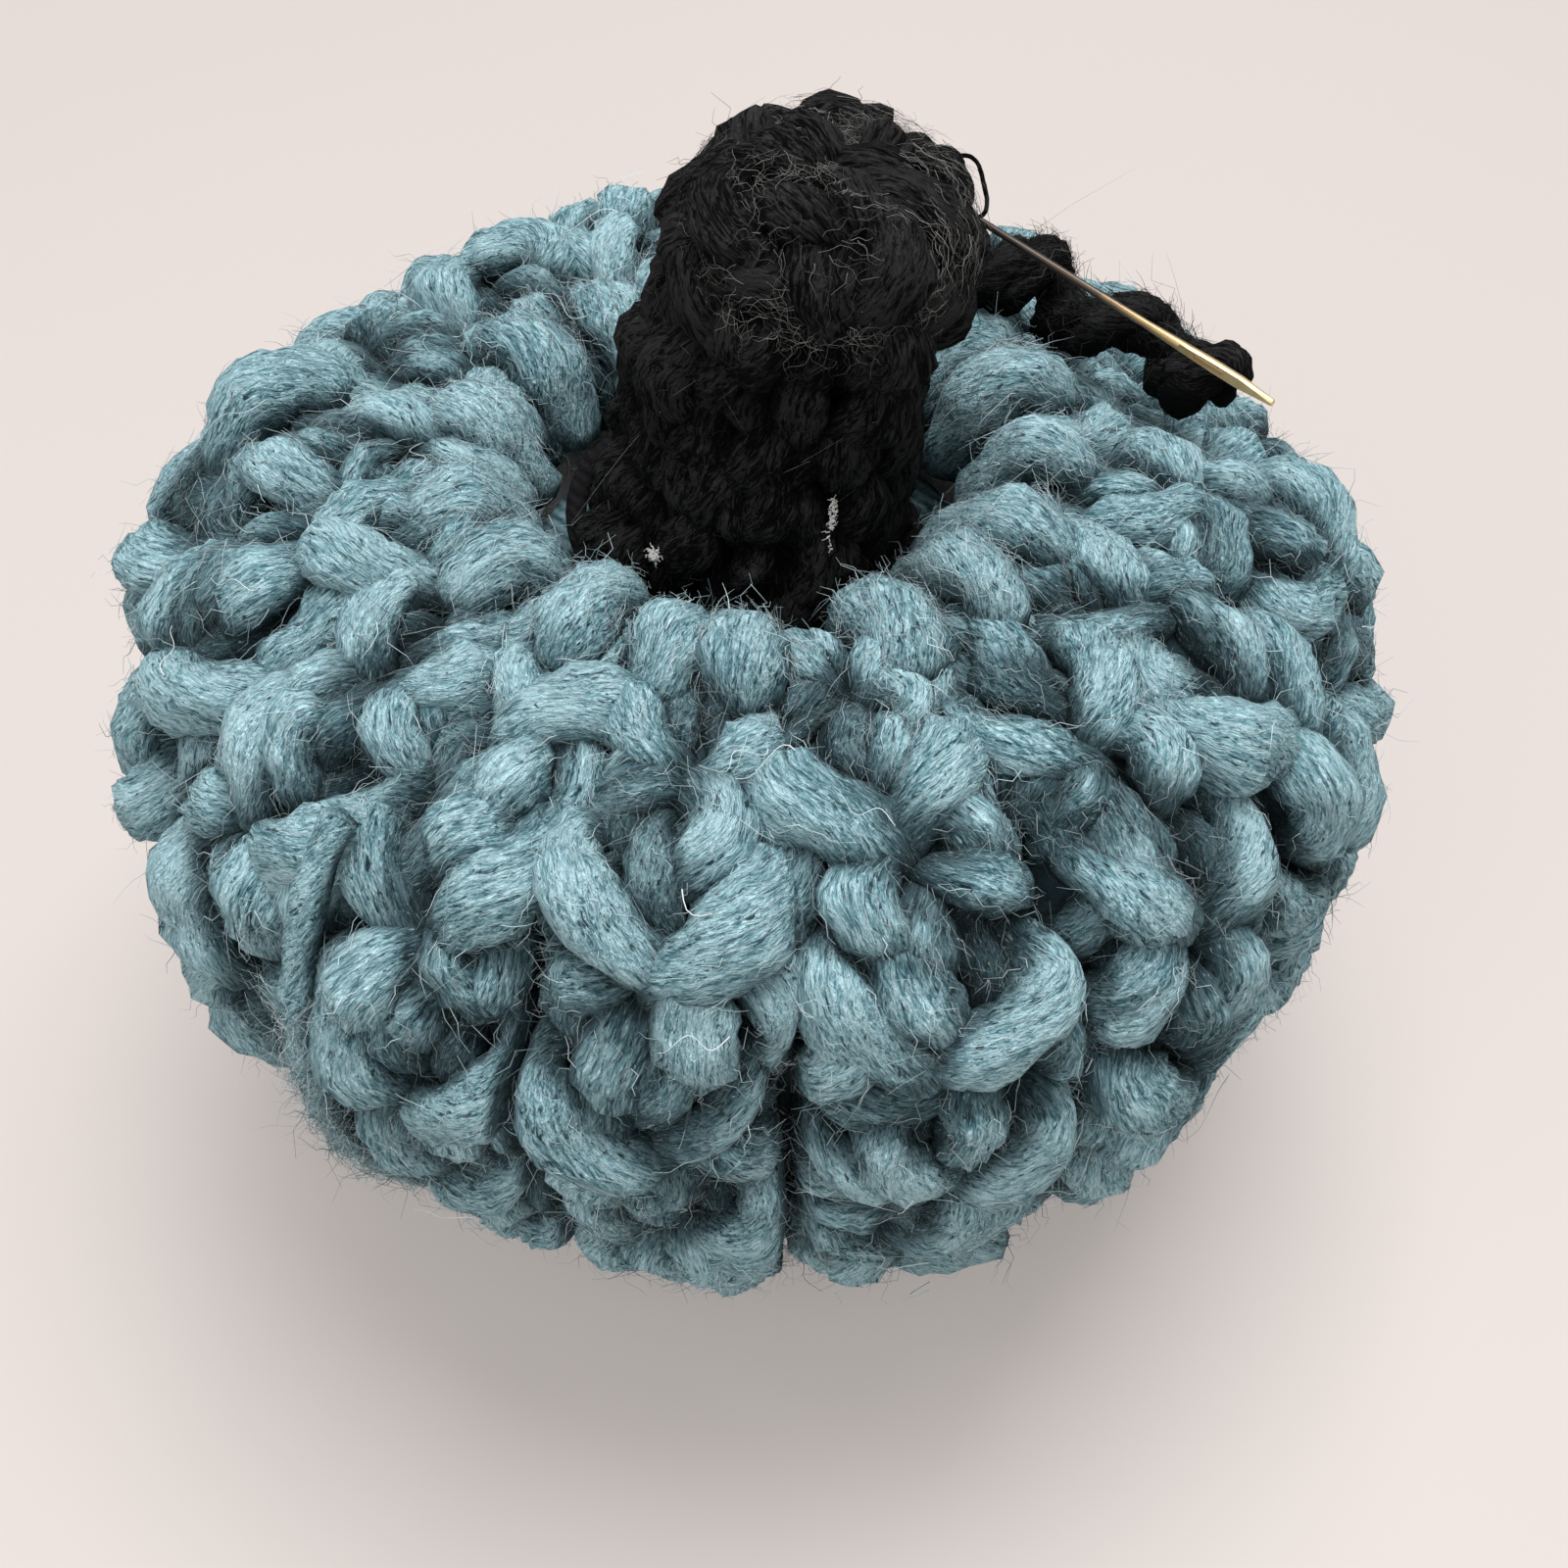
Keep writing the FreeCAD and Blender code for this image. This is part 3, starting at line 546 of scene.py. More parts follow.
def within_rib(part, rib):
    """Strands pressed in between the rib's two grooves, and painted darker where they meet them, as painted
    shade.
    """
    vertices, shade = part[0], part[3]["shade"]
    x, y, z = np.moveaxis(vertices, -1, 0)
    reach = np.maximum(np.hypot(x, y), 3.0)
    centre = (GROOVES[rib] + GROOVES[rib + 1]) / 2
    half = (GROOVES[rib + 1] - GROOVES[rib]) / 2
    turn = (np.degrees(np.arctan2(y, x)) - centre + 180) % 360 - 180
    crown = smooth((z - BELT - CROWN_FROM) / CROWN_RISE)
    limit = (half - np.degrees(GROOVE_GAP / reach)) * (1 + CROWN_SPREAD * crown)
    share = np.abs(turn) / limit
    rest = 1 - EASE_FROM
    eased = np.where(share < EASE_FROM, share, EASE_FROM + rest * np.tanh((share - EASE_FROM) / rest))
    turned = np.radians(centre + np.sign(turn) * eased * limit)
    vertices[..., 0], vertices[..., 1] = reach * np.cos(turned), reach * np.sin(turned)
    # Painted shade: strands are painted darker close to a groove, less so over the crown.
    wall = np.radians((1 - eased) * limit) * reach
    closeness = 1 - smooth(wall / GROOVE_SHADE_WIDTH)
    shade[:, 0] *= (1 - GROOVE_SHADE * closeness * (1 - crown)).ravel()
    return part


def rib_strands(liner, rib):
    """All the strands of one rib, from the gathered underside up to the dimple."""
    rng = np.random.default_rng(100 + rib)
    centre, width = (GROOVES[rib] + GROOVES[rib + 1]) / 2, GROOVES[rib + 1] - GROOVES[rib]
    rows = round(liner.length / STITCH_PITCH)
    pitch = liner.length / rows
    shift = rng.uniform(-0.3, 0.3)
    low, high, bow, thick, stand, yarn = [], [], [], [], [], []
    for row in range(-1, rows + 1):
        side = -1 if rng.random() < MIRRORED else 1
        for x0, y0, x1, y1, bend, size, out in STITCH:
            jitter = rng.normal(size=7)
            start, end = (row + shift + y0) * pitch, (row + shift + y1) * pitch
            if start < 0.5 or end > liner.length + 1.0:
                continue
            first = centre + (side * x0 + ACROSS_JITTER * jitter[0]) * width
            last = centre + (side * x1 + ACROSS_JITTER * jitter[2]) * width
            low.append([first, start + UP_JITTER * jitter[1]])
            high.append([last, end + UP_JITTER * jitter[3]])
            bow.append((side * bend + BOW_JITTER * jitter[4]) * width)
            thick.append(size * (1 + THICK_JITTER * jitter[5]))
            stand.append(out + STAND_JITTER * jitter[6])
            gathered = liner.radius((start + end) / 2) / GATHER_RADIUS
            yarn.append(YARN * np.clip(gathered, THINNEST, 1.0))
    part = laid_strands(liner, *map(np.array, (low, high, bow, thick, stand, yarn)), rng)
    return within_rib(part, rib)


def rested(part):
    """Strands pressed flat where they would pass under the table top."""
    height = part[0][..., 2]
    pressed = TABLE_GAP * np.exp(np.minimum(height - TABLE_GAP, 0) / TABLE_GAP)
    part[0][..., 2] = np.where(height < TABLE_GAP, pressed, height)
    return part


def make_ribs(liner):
    for rib in range(RIBS):
        rng = np.random.default_rng(300 + rib)
        strands = rib_strands(liner, rib)
        hairs = fuzz_on(strands, FUZZ_PER_RIB, 1.9, 0.034, rng, rise=0.17)
        parts = [rested(strands), rested(hairs)]
        piece = yarn_piece(f"cover_rib_{rib + 1:02d}", parts, [TEAL, TEAL_FUZZ])
        stand_in(piece, "cushion", "body_cover")


# The rim's strands run inwards from RIM_RADIUS, arch over the lip and sink into the dimple.
RIM_STRANDS, RIM_RADIUS, RIM_REACH = 17, 25.2, 9.6
RIM_DROP, RIM_SINK, RIM_ARCH = 3.2, 5.0, 3.0


def make_rim():
    """Plump ends of the ribs, drawn over the dimple's lip and up against the stem."""
    rng = np.random.default_rng(41)
    count = RIM_STRANDS
    angles = SEAM_ANGLE + (np.arange(count) + 0.3 * rng.uniform(-1, 1, count)) * 360 / count
    t = np.linspace(0, 1, STRAND_RINGS)[None]
    arch = np.sin(math.pi * t)
    turn = np.radians(angles[:, None] + rng.normal(0, 9, (count, 1)) * (t - 0.5))
    size = rng.uniform(0.9, 1.25, (count, 1))
    radius = RIM_RADIUS - RIM_REACH * t + rng.normal(size=(count, 1)) * t
    rise = (RIM_ARCH + rng.normal(0, 0.6, (count, 1))) * arch
    height = CREST - RIM_DROP - RIM_SINK * t**2 + rise
    centres = polar(radius, turn, height)
    ups = np.broadcast_to([0.0, 0.0, 1.0], centres.shape)
    thick = YARN * size * np.ones_like(t)
    strands = yarn_strands(centres, ups, thick, 0.5 + 0.5 * arch**0.4, rng, width=1.15)
    hairs = fuzz_on(strands, 4800, 1.8, 0.032, rng, rise=0.14)
    piece = yarn_piece("cover_rim", [strands, hairs], [TEAL, TEAL_FUZZ])
    stand_in(piece, "cushion", "body_cover")


# Heights of the seam strand's ends, the radius of the cover's side there, and the strand's own size.
SEAM_HIGH, SEAM_LOW, SEAM_SIDE = 66.0, 9.0, 58.4
SEAM_RADIUS, SEAM_SINK, SEAM_RINGS = 1.15, 0.1, 60


def make_seam():
    """The taut strand that closes the cover, in the groove at the front left."""
    rng = np.random.default_rng(51)
    t = np.linspace(0, 1, SEAM_RINGS)
    height = SEAM_HIGH + (SEAM_LOW - SEAM_HIGH) * t
    inward = np.where(height > BELT, SHOULDER, SEAM_SIDE)
    arc = np.sqrt(np.maximum(inward**2 - (height - BELT) ** 2, 0))
    radius = BELT_RADIUS - SEAM_SINK - inward + arc
    turn = np.radians(SEAM_ANGLE + 1.2 * np.sin(6 * t))
    centres = polar(radius, turn, height)[None]
    ups = unit(centres - [0, 0, BELT])
    even = np.ones((1, SEAM_RINGS))
    strands = yarn_strands(centres, ups, SEAM_RADIUS * even, even, rng, twist=0.5)
    hairs = fuzz_on(strands, 700, 2.7, 0.038, rng)
    piece = yarn_piece("seam_strand", [strands, hairs], [TEAL, TEAL_FUZZ])
    stand_in(piece, "cushion", "side_seam_strand")


def make_liner(liner):
    """The cover's inner fabric, and the stuffing inside it with a seat and a channel for the tie."""
    fabric = shell_piece("cover_liner", liner, LINER_THICKNESS, SHADED_TEAL_LINER)
    inside = liner.points - liner.normals * (LINER_THICKNESS + 0.6)
    below_belt = liner.points[..., 2].mean(axis=0) < BELT
    clear_of_tie = np.hypot(inside[0, :, 0], inside[0, :, 1]) > CHANNEL_RADIUS + 1
    inside = inside[:, ((liner.radii > SEAT_RADIUS + 0.5) | below_belt) & clear_of_tie]
    inside = inside + 0.35 * wobble(inside, 5.0, 91)[..., None] * unit(inside - [0, 0, BELT])
    turn = np.arctan2(liner.points[:, :1, 1], liner.points[:, :1, 0])
    seat = [(SEAT_RADIUS, SEAT_HEIGHT), (SEAT_CORE, SEAT_HEIGHT), (CHANNEL_RADIUS, SEAT_HEIGHT)]
    channel = [(CHANNEL_RADIUS, CHANNEL_MIDDLE), (CHANNEL_RADIUS, CHANNEL_LOW)]
    radius, height = np.array(seat + channel).T
    well = polar(radius, turn, height)
    stuffing = ring_piece("cushion_fibrefill", np.concatenate([inside, well], axis=1), FIBREFILL)
    stand_in(fabric, "cushion", "body_cover")
    stand_in(stuffing, "cushion", "body_filling")


# ---- stem ----


def leaned(points):
    """Points of the upright stem, whose origin is its hinge, in their leaning place."""
    x, y, z = np.moveaxis(points, -1, 0)
    c, s = math.cos(STEM_LEAN), math.sin(STEM_LEAN)
    return np.stack([x * c + z * s, y, z * c - x * s], axis=-1) + STEM_PIVOT


def stem_surface():
    """What the stem's yarn is laid on: its wall and rounded top, moved in by the yarn's depth."""
    corner = (STEM_TOP_RADIUS - STEM_CORNER, STEM_TOP - STEM_CORNER)
    points = [(STEM_BASE_RADIUS - STEM_YARN_DEPTH, STEM_BASE)]
    points += arc_points(corner, STEM_CORNER - STEM_YARN_DEPTH, 4, 90, 12)
    points += [(0.6, STEM_TOP - STEM_YARN_DEPTH - 1.0)]
    outline, length = resampled(points, 60)
    angles = np.arange(48) * 7.5
    turn = np.radians(angles)[:, None]
    radius, height = outline.T
    local = polar(radius, turn, height)
    local = local + 0.35 * wobble(local, 14.0, 61)[..., None] * unit(local * [1, 1, 0])
    rise = np.clip(local[..., 2] / STEM_TOP, 0, 1)
    local[..., :2] *= 1 - STEM_WAIST * np.sin(math.pi * rise)[..., None]
    local[..., 0] += STEM_BEND * (smooth(rise) - smooth(2 * rise) * smooth(2 - 2 * rise))
    return Surface(leaned(local), length, angles)


STEM_ROWS, STEM_PITCH, STEM_STITCHES = 7, 4.4, 13
STEM_LUMPS, LUMPS_FROM, LUMP_HALF = 34, 26.0, 2.9
# The head is paler towards its top: from this height, over this much, by this much tone.
PALE_HEAD_FROM, PALE_HEAD_OVER, PALE_HEAD_TONE = 74, 12, 0.3


def stem_strands(surface, rng):
    """Rounds of V-shaped stitches up the wall, then lumps lying every way that close the top."""
    step = 360.0 / STEM_STITCHES
    low, high, bow, thick, stand = [], [], [], [], []
    for row in range(STEM_ROWS):
        for stitch in range(STEM_STITCHES):
            for way in (-1, 1):
                jitter = rng.normal(size=5)
                middle = (stitch + 0.37 * row) * step + 4 * jitter[0]
                low.append([middle + way * 0.04 * step, row * STEM_PITCH - 0.6 + 0.4 * jitter[1]])
                high.append([middle + way * 0.42 * step, (row + 1.35) * STEM_PITCH + 0.5 * jitter[2]])
                bow.append(way * 0.10 * step)
                thick.append(1.02 + 0.14 * jitter[3])
                stand.append(0.6 + 0.5 * jitter[4])
    for lump in range(STEM_LUMPS):
        inwards = math.sqrt((lump + 0.5) / STEM_LUMPS)
        distance = surface.length - (surface.length - LUMPS_FROM) * inwards
        middle = 137.5 * lump
        heading = rng.uniform(0, math.pi)
        spread = math.degrees(LUMP_HALF * math.cos(heading) / max(surface.radius(distance), 2.5))
        rise = LUMP_HALF * math.sin(heading)
        low.append([middle - spread, distance - rise])
        high.append([middle + spread, min(distance + rise, surface.length)])
        bow.append(0.0)
        thick.append(1.15 + 0.14 * rng.normal())
        stand.append(0.9 + 0.3 * rng.normal())
    part = laid_strands(surface, *map(np.array, (low, high, bow, thick, stand)), STEM_YARN, rng)
    # Paler towards the top of the head, by height alone.
    tone_shift = smooth((part[0][..., 2] - PALE_HEAD_FROM) / PALE_HEAD_OVER)
    part[3]["shade"][:, 1] += PALE_HEAD_TONE * tone_shift.ravel()
    return part


def stem_haze(surface, rng, count=2300):
    """Fine curved wisps over the stem's head, whose directions drift from place to place."""
    high = surface.length * (0.985 - 0.27 * rng.random(count) ** 0.8)
    roots, ups = surface.at(rng.uniform(0, 360, count), high)
    flow = np.stack([wobble(roots, 7.0, 101 + axis) for axis in range(3)], axis=-1)
    ways = unit(np.cross(ups, flow + 0.35 * rng.normal(size=(count, 3))))
    roots = roots + ups * rng.uniform(2.9, 4.0, (count, 1))
    lengths, thickness = rng.uniform(1.2, 4.0, count), rng.uniform(0.010, 0.022, count)
    return fuzz(roots, ways, ups, lengths, thickness, rng, curl=0.22, rise=0.05, hug=0.1, rings=7)


def make_stem(surface):
    rng = np.random.default_rng(71)
    lining = shell_piece("stem_liner", surface, 0.5, CHARCOAL_LINER)
    core = surface.points - surface.normals * 1.2
    core = core + 0.2 * wobble(core, 3.0, 92)[..., None] * surface.normals
    stuffing = ring_piece("stem_fibrefill", core, FIBREFILL)
    strands = stem_strands(surface, rng)
    stitches = yarn_piece("stem_stitches", [strands], [CHARCOAL])
    short = fuzz_on(strands, 3800, 1.5, 0.024, rng)
    long = fuzz_on(strands, 160, 3.2, 0.016, rng, curl=0.6, rise=0.12, hug=0.1)
    haze = stem_haze(surface, rng)
    fuzzed = yarn_piece("stem_fuzz", [short, long, haze], [CHARCOAL_FUZZ, GREY_FUZZ, GREY_FUZZ])
    for piece in (lining, stitches, fuzzed):
        stand_in(piece, "stem", "stem_cover")
    stand_in(stuffing, "stem", "stem_filling")


# ---- tendril ----

VINE_CURVE = np.array([(10.5, 14.5, 74.0), (18.2, 16.6, 74.0), (25.4, 14.8, 71.8), (32.2, 8.0, 71.5),
                       (35.8, 3.4, 72.6)])
VINE_TURNS, VINE_COIL = 3.6, 2.0
PLY_RADIUS, PLY_OFFSET, PLY_PITCH, PLY_RINGS = 1.5, 0.85, 9.0, 150


def flowing(points, count):
    """A smooth line through a few points, by Catmull-Rom pieces."""
    ends = np.concatenate([[2 * points[0] - points[1]], points, [2 * points[-1] - points[-2]]])
    at = np.linspace(0, len(points) - 1, count)
    piece = np.minimum(at.astype(int), len(points) - 2)
    t = (at - piece)[:, None]
    a, b, c, d = (ends[piece + k] for k in range(4))
    return 0.5 * (2 * b + (c - a) * t + (2 * a - 5 * b + 4 * c - d) * t**2 + (3 * b - a - 3 * c + d) * t**3)


def corkscrew(count):
    """Centre line of the tendril, which grows out of its curve at the root and closes at the tip."""
    share = np.linspace(0, 1, count)[:, None]
    curve = flowing(VINE_CURVE, count)
    ahead = unit(np.gradient(curve, axis=0))
    side = unit(np.cross(ahead, [0, 0, 1]))
    opening = np.minimum(1, np.minimum(np.maximum(0, 5 * share - 0.4), 5 * (1 - share) + 0.35))
    spread = VINE_COIL * opening * (1.1 - 0.5 * share)
    angle = TURN * VINE_TURNS * share
    return curve + spread * (side * np.cos(angle) + np.cross(side, ahead) * np.sin(angle))


def make_vine():
    """Two plies of stem yarn twisted round each other along the corkscrew."""
    rng = np.random.default_rng(81)
    line = corkscrew(PLY_RINGS)
    ahead = unit(np.gradient(line, axis=0))
    side = unit(np.cross(ahead, [0.2, 0.1, 1.0]))
    rise = np.cross(side, ahead)
    along = np.concatenate([[0], np.cumsum(np.linalg.norm(np.diff(line, axis=0), axis=1))])
    wind = (TURN * along / PLY_PITCH)[:, None]
    turns = [wind + half * math.pi for half in (0, 1)]
    centres = np.stack([line + PLY_OFFSET * (side * np.cos(a) + rise * np.sin(a)) for a in turns])
    ends = np.minimum(1, np.minimum(along, along[-1] - along) / 1.5)
    ups = np.broadcast_to(rise, centres.shape)
    radius = np.full((2, PLY_RINGS), PLY_RADIUS)
    strands = yarn_strands(centres, ups, radius, (0.35 + 0.65 * np.sqrt(ends))[None], rng, twist=0.5)
    short = fuzz_on(strands, 2600, 1.5, 0.03, rng)
    long = fuzz_on(strands, 60, 3.0, 0.02, rng, curl=0.7, rise=0.15, hug=0.2)
    piece = yarn_piece("vine_tendril", [strands, short, long], [CHARCOAL, CHARCOAL_FUZZ, GREY_FUZZ])
    stand_in(piece, "vine", "curly_vine")


# ---- loose fibres, lint and the thread at the needle ----

NEEDLE_ENTRY = np.array([15.6, 0.5, 89.0])
THREAD_RADIUS, THREAD_RINGS = 0.14, 60


def loose_fibres(name, surface, body, places, lengths, thickness, material, rng, curl=0.35):
    """Curved stray fibres lying over a surface; places are (angle, distance up, standing off)."""
    angles, distance, off = np.array(places, float).T
    roots, ups = surface.at(angles, distance)
    roots = roots + ups * off[:, None]
    around = unit(np.cross(ups, [0.0, 0.0, 1.0]))
    way = np.radians(rng.uniform(-180, 180, len(roots)))[:, None]
    ways = unit(around * np.cos(way) + np.cross(ups, around) * np.sin(way))
    thick = np.full(len(roots), thickness)
    style = {"curl": curl, "rise": 0.1, "hug": 0.02, "rings": 14}
    piece = yarn_piece(name, [fuzz(roots, ways, ups, lengths, thick, rng, **style)], [material])
    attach(piece, body)


STRAY_FIBRES = 90
# Angle, distance up the cover, and how far each of the two dark hairs stands off it.
DARK_HAIRS = [(-82.0, 62.0, 5.4), (-84.0, 22.0, 5.2)]
# Angle and distance up the stem, spread in degrees and in millimetres, and number of fibres.
LINT_CLUMPS = ((-138.0, 18.6, 1.6, 0.36, 170), (-66.0, 12.6, 0.3, 0.9, 50), (-126.0, 6.0, 1.2, 0.2, 60))


def make_loose_fibres(liner, stem):
    rng = np.random.default_rng(95)
    top = liner.length - 4
    pale = [(rng.uniform(0, 360), rng.uniform(25, top), rng.uniform(4.0, 5.6)) for _ in range(STRAY_FIBRES)]
    lengths = rng.uniform(3, 8, STRAY_FIBRES)
    loose_fibres("stray_fibres", liner, "cushion", pale, lengths, 0.05, PALE_FIBRE, rng)
    lengths = np.array([6.0, 14.0])
    loose_fibres("dark_hairs", liner, "cushion", DARK_HAIRS, lengths, 0.05, CHARCOAL_FUZZ, rng)
    lint = []
    for angle, distance, wide, tall, fibres in LINT_CLUMPS:
        lint += [(angle + wide * rng.normal(), distance + tall * rng.normal(), rng.uniform(3.7, 4.2))
                 for _ in range(fibres)]
    lengths = rng.uniform(0.15, 0.4, len(lint))
    loose_fibres("white_lint", stem, "stem", lint, lengths, 0.045, WHITE_LINT, rng, curl=0.9)


def make_thread():
    """Loose loop of thin thread at the place where the needle goes into the stem."""
    rng = np.random.default_rng(97)
    loop = NEEDLE_ENTRY + np.array([(-2.4, 2.7, 2.6), (-1.1, 2.5, 3.3), (-0.2, 2.1, 3.0), (0.3, 1.2, 1.8),
                                    (0.5, 0.5, 0.9), (0.1, 0.1, 0.2), (-1.4, 0.6, 0.0)])
    centres = flowing(loop, THREAD_RINGS)[None]
    ups = np.broadcast_to([0.3, -0.9, 0.3], centres.shape)
    even = np.ones((1, THREAD_RINGS))
    thread = yarn_strands(centres, ups, THREAD_RADIUS * even, even, rng, twist=3.0)
    piece = yarn_piece("loose_thread", [thread], [CHARCOAL])
    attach(piece, "stem")


# ---- materials ----


def srgb(red, green, blue):
    """An 8-bit display colour as linear values."""
    def linear(c):
        c /= 255
        return c / 12.92 if c <= 0.04045 else ((c + 0.055) / 1.055) ** 2.4

    return (linear(red), linear(green), linear(blue), 1.0)


def set_inputs(node, values):
    for socket, value in values.items():
        node.inputs[socket].default_value = value


class Nodes:
    """Short calls for building a material's node tree."""

    def __init__(self, name):
        self.material = bpy.data.materials.new(name)
        self.material.use_nodes = True
        self.tree = self.material.node_tree
        self.surface = self.tree.nodes["Principled BSDF"]

    def add(self, kind, **values):
        node = self.tree.nodes.new("ShaderNode" + kind)
        for key, value in values.items():
            setattr(node, key, value)
        return node

    def link(self, output, node, socket):
        self.tree.links.new(output, node.inputs[socket])

    def attribute(self, name):
        return self.add("Attribute", attribute_name=name)

    def noise(self, vector, scale, detail=3.0, roughness=0.55, distortion=0.0):
        node = self.add("TexNoise")
        set_inputs(node, {"Scale": scale, "Detail": detail, "Roughness": roughness, "Distortion": distortion})
        self.link(vector, node, "Vector")
        return node.outputs["Fac"]

    def sum(self, *terms, offset=0.0):
        """offset plus each (output, weight) of terms."""
        total = offset
        for output, weight in terms:
            node = self.add("Math", operation="MULTIPLY_ADD")
            self.link(output, node, 0)
            node.inputs[1].default_value = weight
            if isinstance(total, float):
                node.inputs[2].default_value = total
            else:
                self.link(total, node, 2)
            total = node.outputs[0]
        return total

    def ramp(self, factor, *stops):
        node = self.add("ValToRGB")
        ramp = node.color_ramp
        while len(ramp.elements) < len(stops):
            ramp.elements.new(0.5)
        for element, (place, colour) in zip(ramp.elements, stops):
            element.position, element.color = place, colour
        self.link(factor, node, "Fac")
        return node.outputs["Color"]

    def mix(self, factor, first, second, blend="MIX"):
        node = self.add("Mix", data_type="RGBA", blend_type=blend)
        for socket, value in (("Factor", factor), ("A", first), ("B", second)):
            target = next(s for s in node.inputs if s.name == socket and (
                s.type == ("VALUE" if socket == "Factor" else "RGBA")))
            if isinstance(value, (int, float, tuple)):
                target.default_value = value
            else:
                self.tree.links.new(value, target)
        return next(s for s in node.outputs if s.type == "RGBA")

    def bump(self, height, strength, distance):
        node = self.add("Bump")
        set_inputs(node, {"Strength": strength, "Distance": distance})
        self.link(height, node, "Height")
        self.link(node.outputs["Normal"], self.surface, "Normal")


def yarn_material(name, deep, middle, light, sheen, shadow):
    """Loose fibrous yarn: short flecks along each strand, with painted light on its top and painted shade
    where the strand dives and lies low.
    """
    n = Nodes(name)
    fibre = n.attribute("fibre").outputs["Vector"]
    split = n.add("SeparateXYZ")
    n.link(n.attribute("shade").outputs["Vector"], split, 0)
    height, tone = split.outputs[0], split.outputs[1]
    streak = n.noise(fibre, 1.8, 3.0, 0.6, 1.6)
    fine = n.noise(fibre, 4.5, 3.0, 0.65, 1.2)
    cloud = n.noise(fibre, 0.35, 2.0, 0.5)
    # Painted light and shade: height lightens the colour on top of strands, and the crevice ramp darkens it
    # towards the shadow colour where strands lie low.
    value = n.sum((streak, 2.8), (fine, 2.8), (cloud, 1.0), (height, 0.5), (tone, 0.10), offset=-3.03)
    colour = n.ramp(value, (0.0, deep), (0.5, middle), (1.0, light))
    crevice = n.ramp(height, (0.12, shadow), (0.56, (0.36, 0.38, 0.39, 1)), (0.86, (1, 1, 1, 1)))
    colour = n.mix(1.0, colour, crevice, "MULTIPLY")
    speck = n.sum((n.noise(fibre, 3.6, 2.0, 0.5, 1.2), 1.0), (height, 0.10), (cloud, 0.12))
    flecks = n.ramp(speck, (0.475, (0.10, 0.12, 0.13, 1)), (0.55, (1, 1, 1, 1)))
    glint = n.ramp(n.noise(fibre, 5.5, 1.0, 0.5, 0.8), (0.66, (0, 0, 0, 1)), (0.74, (0.5, 0.5, 0.5, 1)))
    n.link(n.mix(glint, n.mix(1.0, colour, flecks, "MULTIPLY"), light), n.surface, "Base Color")
    set_inputs(n.surface, {"Roughness": 0.95, "Specular IOR Level": 0.08})
    set_inputs(n.surface, {"Sheen Weight": sheen, "Sheen Roughness": 0.5, "Sheen Tint": light})
    n.bump(n.sum((streak, 1.0), (fine, 0.8)), 1.0, 0.0008)
    return n.material


def fuzz_material(name, dark, light, sheen=0.0):
    """Single loose fibres, each a little lighter or darker than the next, and painted darker as shade where
    they grow from a crevice.
    """
    n = Nodes(name)
    split = n.add("SeparateXYZ")
    n.link(n.attribute("shade").outputs["Vector"], split, 0)
    share = n.sum((split.outputs[1], 0.5), offset=0.5)
    # Painted shade: fibres rooted low in crevices are darkened.
    crevice = n.ramp(split.outputs[0], (0.1, (0.08, 0.09, 0.09, 1)), (0.8, (1, 1, 1, 1)))
    colour = n.ramp(share, (0.0, dark), (1.0, light))
    n.link(n.mix(1.0, colour, crevice, "MULTIPLY"), n.surface, "Base Color")
    set_inputs(n.surface, {"Roughness": 0.8, "Specular IOR Level": 0.2, "Sheen Weight": sheen})
    return n.material


def fabric_material(name, dark, light, scale):
    """Matt fibre mass seen in gaps and inside: cloudy colour and a coarse fibrous bump."""
    n = Nodes(name)
    place = n.add("TexCoord").outputs["Object"]
    grain = n.noise(place, scale, 5.0, 0.7)
    n.link(n.ramp(grain, (0.3, dark), (0.75, light)), n.surface, "Base Color")
    set_inputs(n.surface, {"Roughness": 0.95})
    n.bump(grain, 0.8, 0.001)
    return n.material


TEAL = yarn_material("teal_yarn", srgb(56, 93, 103), srgb(119, 161, 171), srgb(178, 213, 221), 0.2,
                     (0.07, 0.09, 0.10, 1))
TEAL_FUZZ = fuzz_material("teal_fuzz", srgb(62, 96, 105), srgb(202, 222, 227), 0.3)
# Painted shade: the liner is coloured as dark as the shaded gaps between the stitches, not in the yarn's own
# teal.
SHADED_TEAL_LINER = fabric_material("shaded_teal_liner", srgb(14, 30, 35), srgb(34, 62, 70), 900.0)
CHARCOAL = yarn_material("charcoal_yarn", srgb(1, 1, 2), srgb(6, 6, 7), srgb(46, 46, 46), 0.01,
                         (0.05, 0.05, 0.05, 1))
CHARCOAL_FUZZ = fuzz_material("charcoal_fuzz", srgb(8, 8, 9), srgb(40, 40, 41))
GREY_FUZZ = fuzz_material("grey_fuzz", srgb(36, 36, 35), srgb(142, 141, 138))
CHARCOAL_LINER = fabric_material("charcoal_liner", srgb(6, 6, 7), srgb(20, 20, 22), 900.0)
FIBREFILL = fabric_material("fibrefill", srgb(196, 196, 194), srgb(240, 240, 238), 420.0)
PALE_FIBRE = fuzz_material("pale_fibre", srgb(190, 208, 214), srgb(236, 242, 244))
WHITE_LINT = fuzz_material("white_lint", srgb(206, 204, 200), srgb(246, 245, 242))


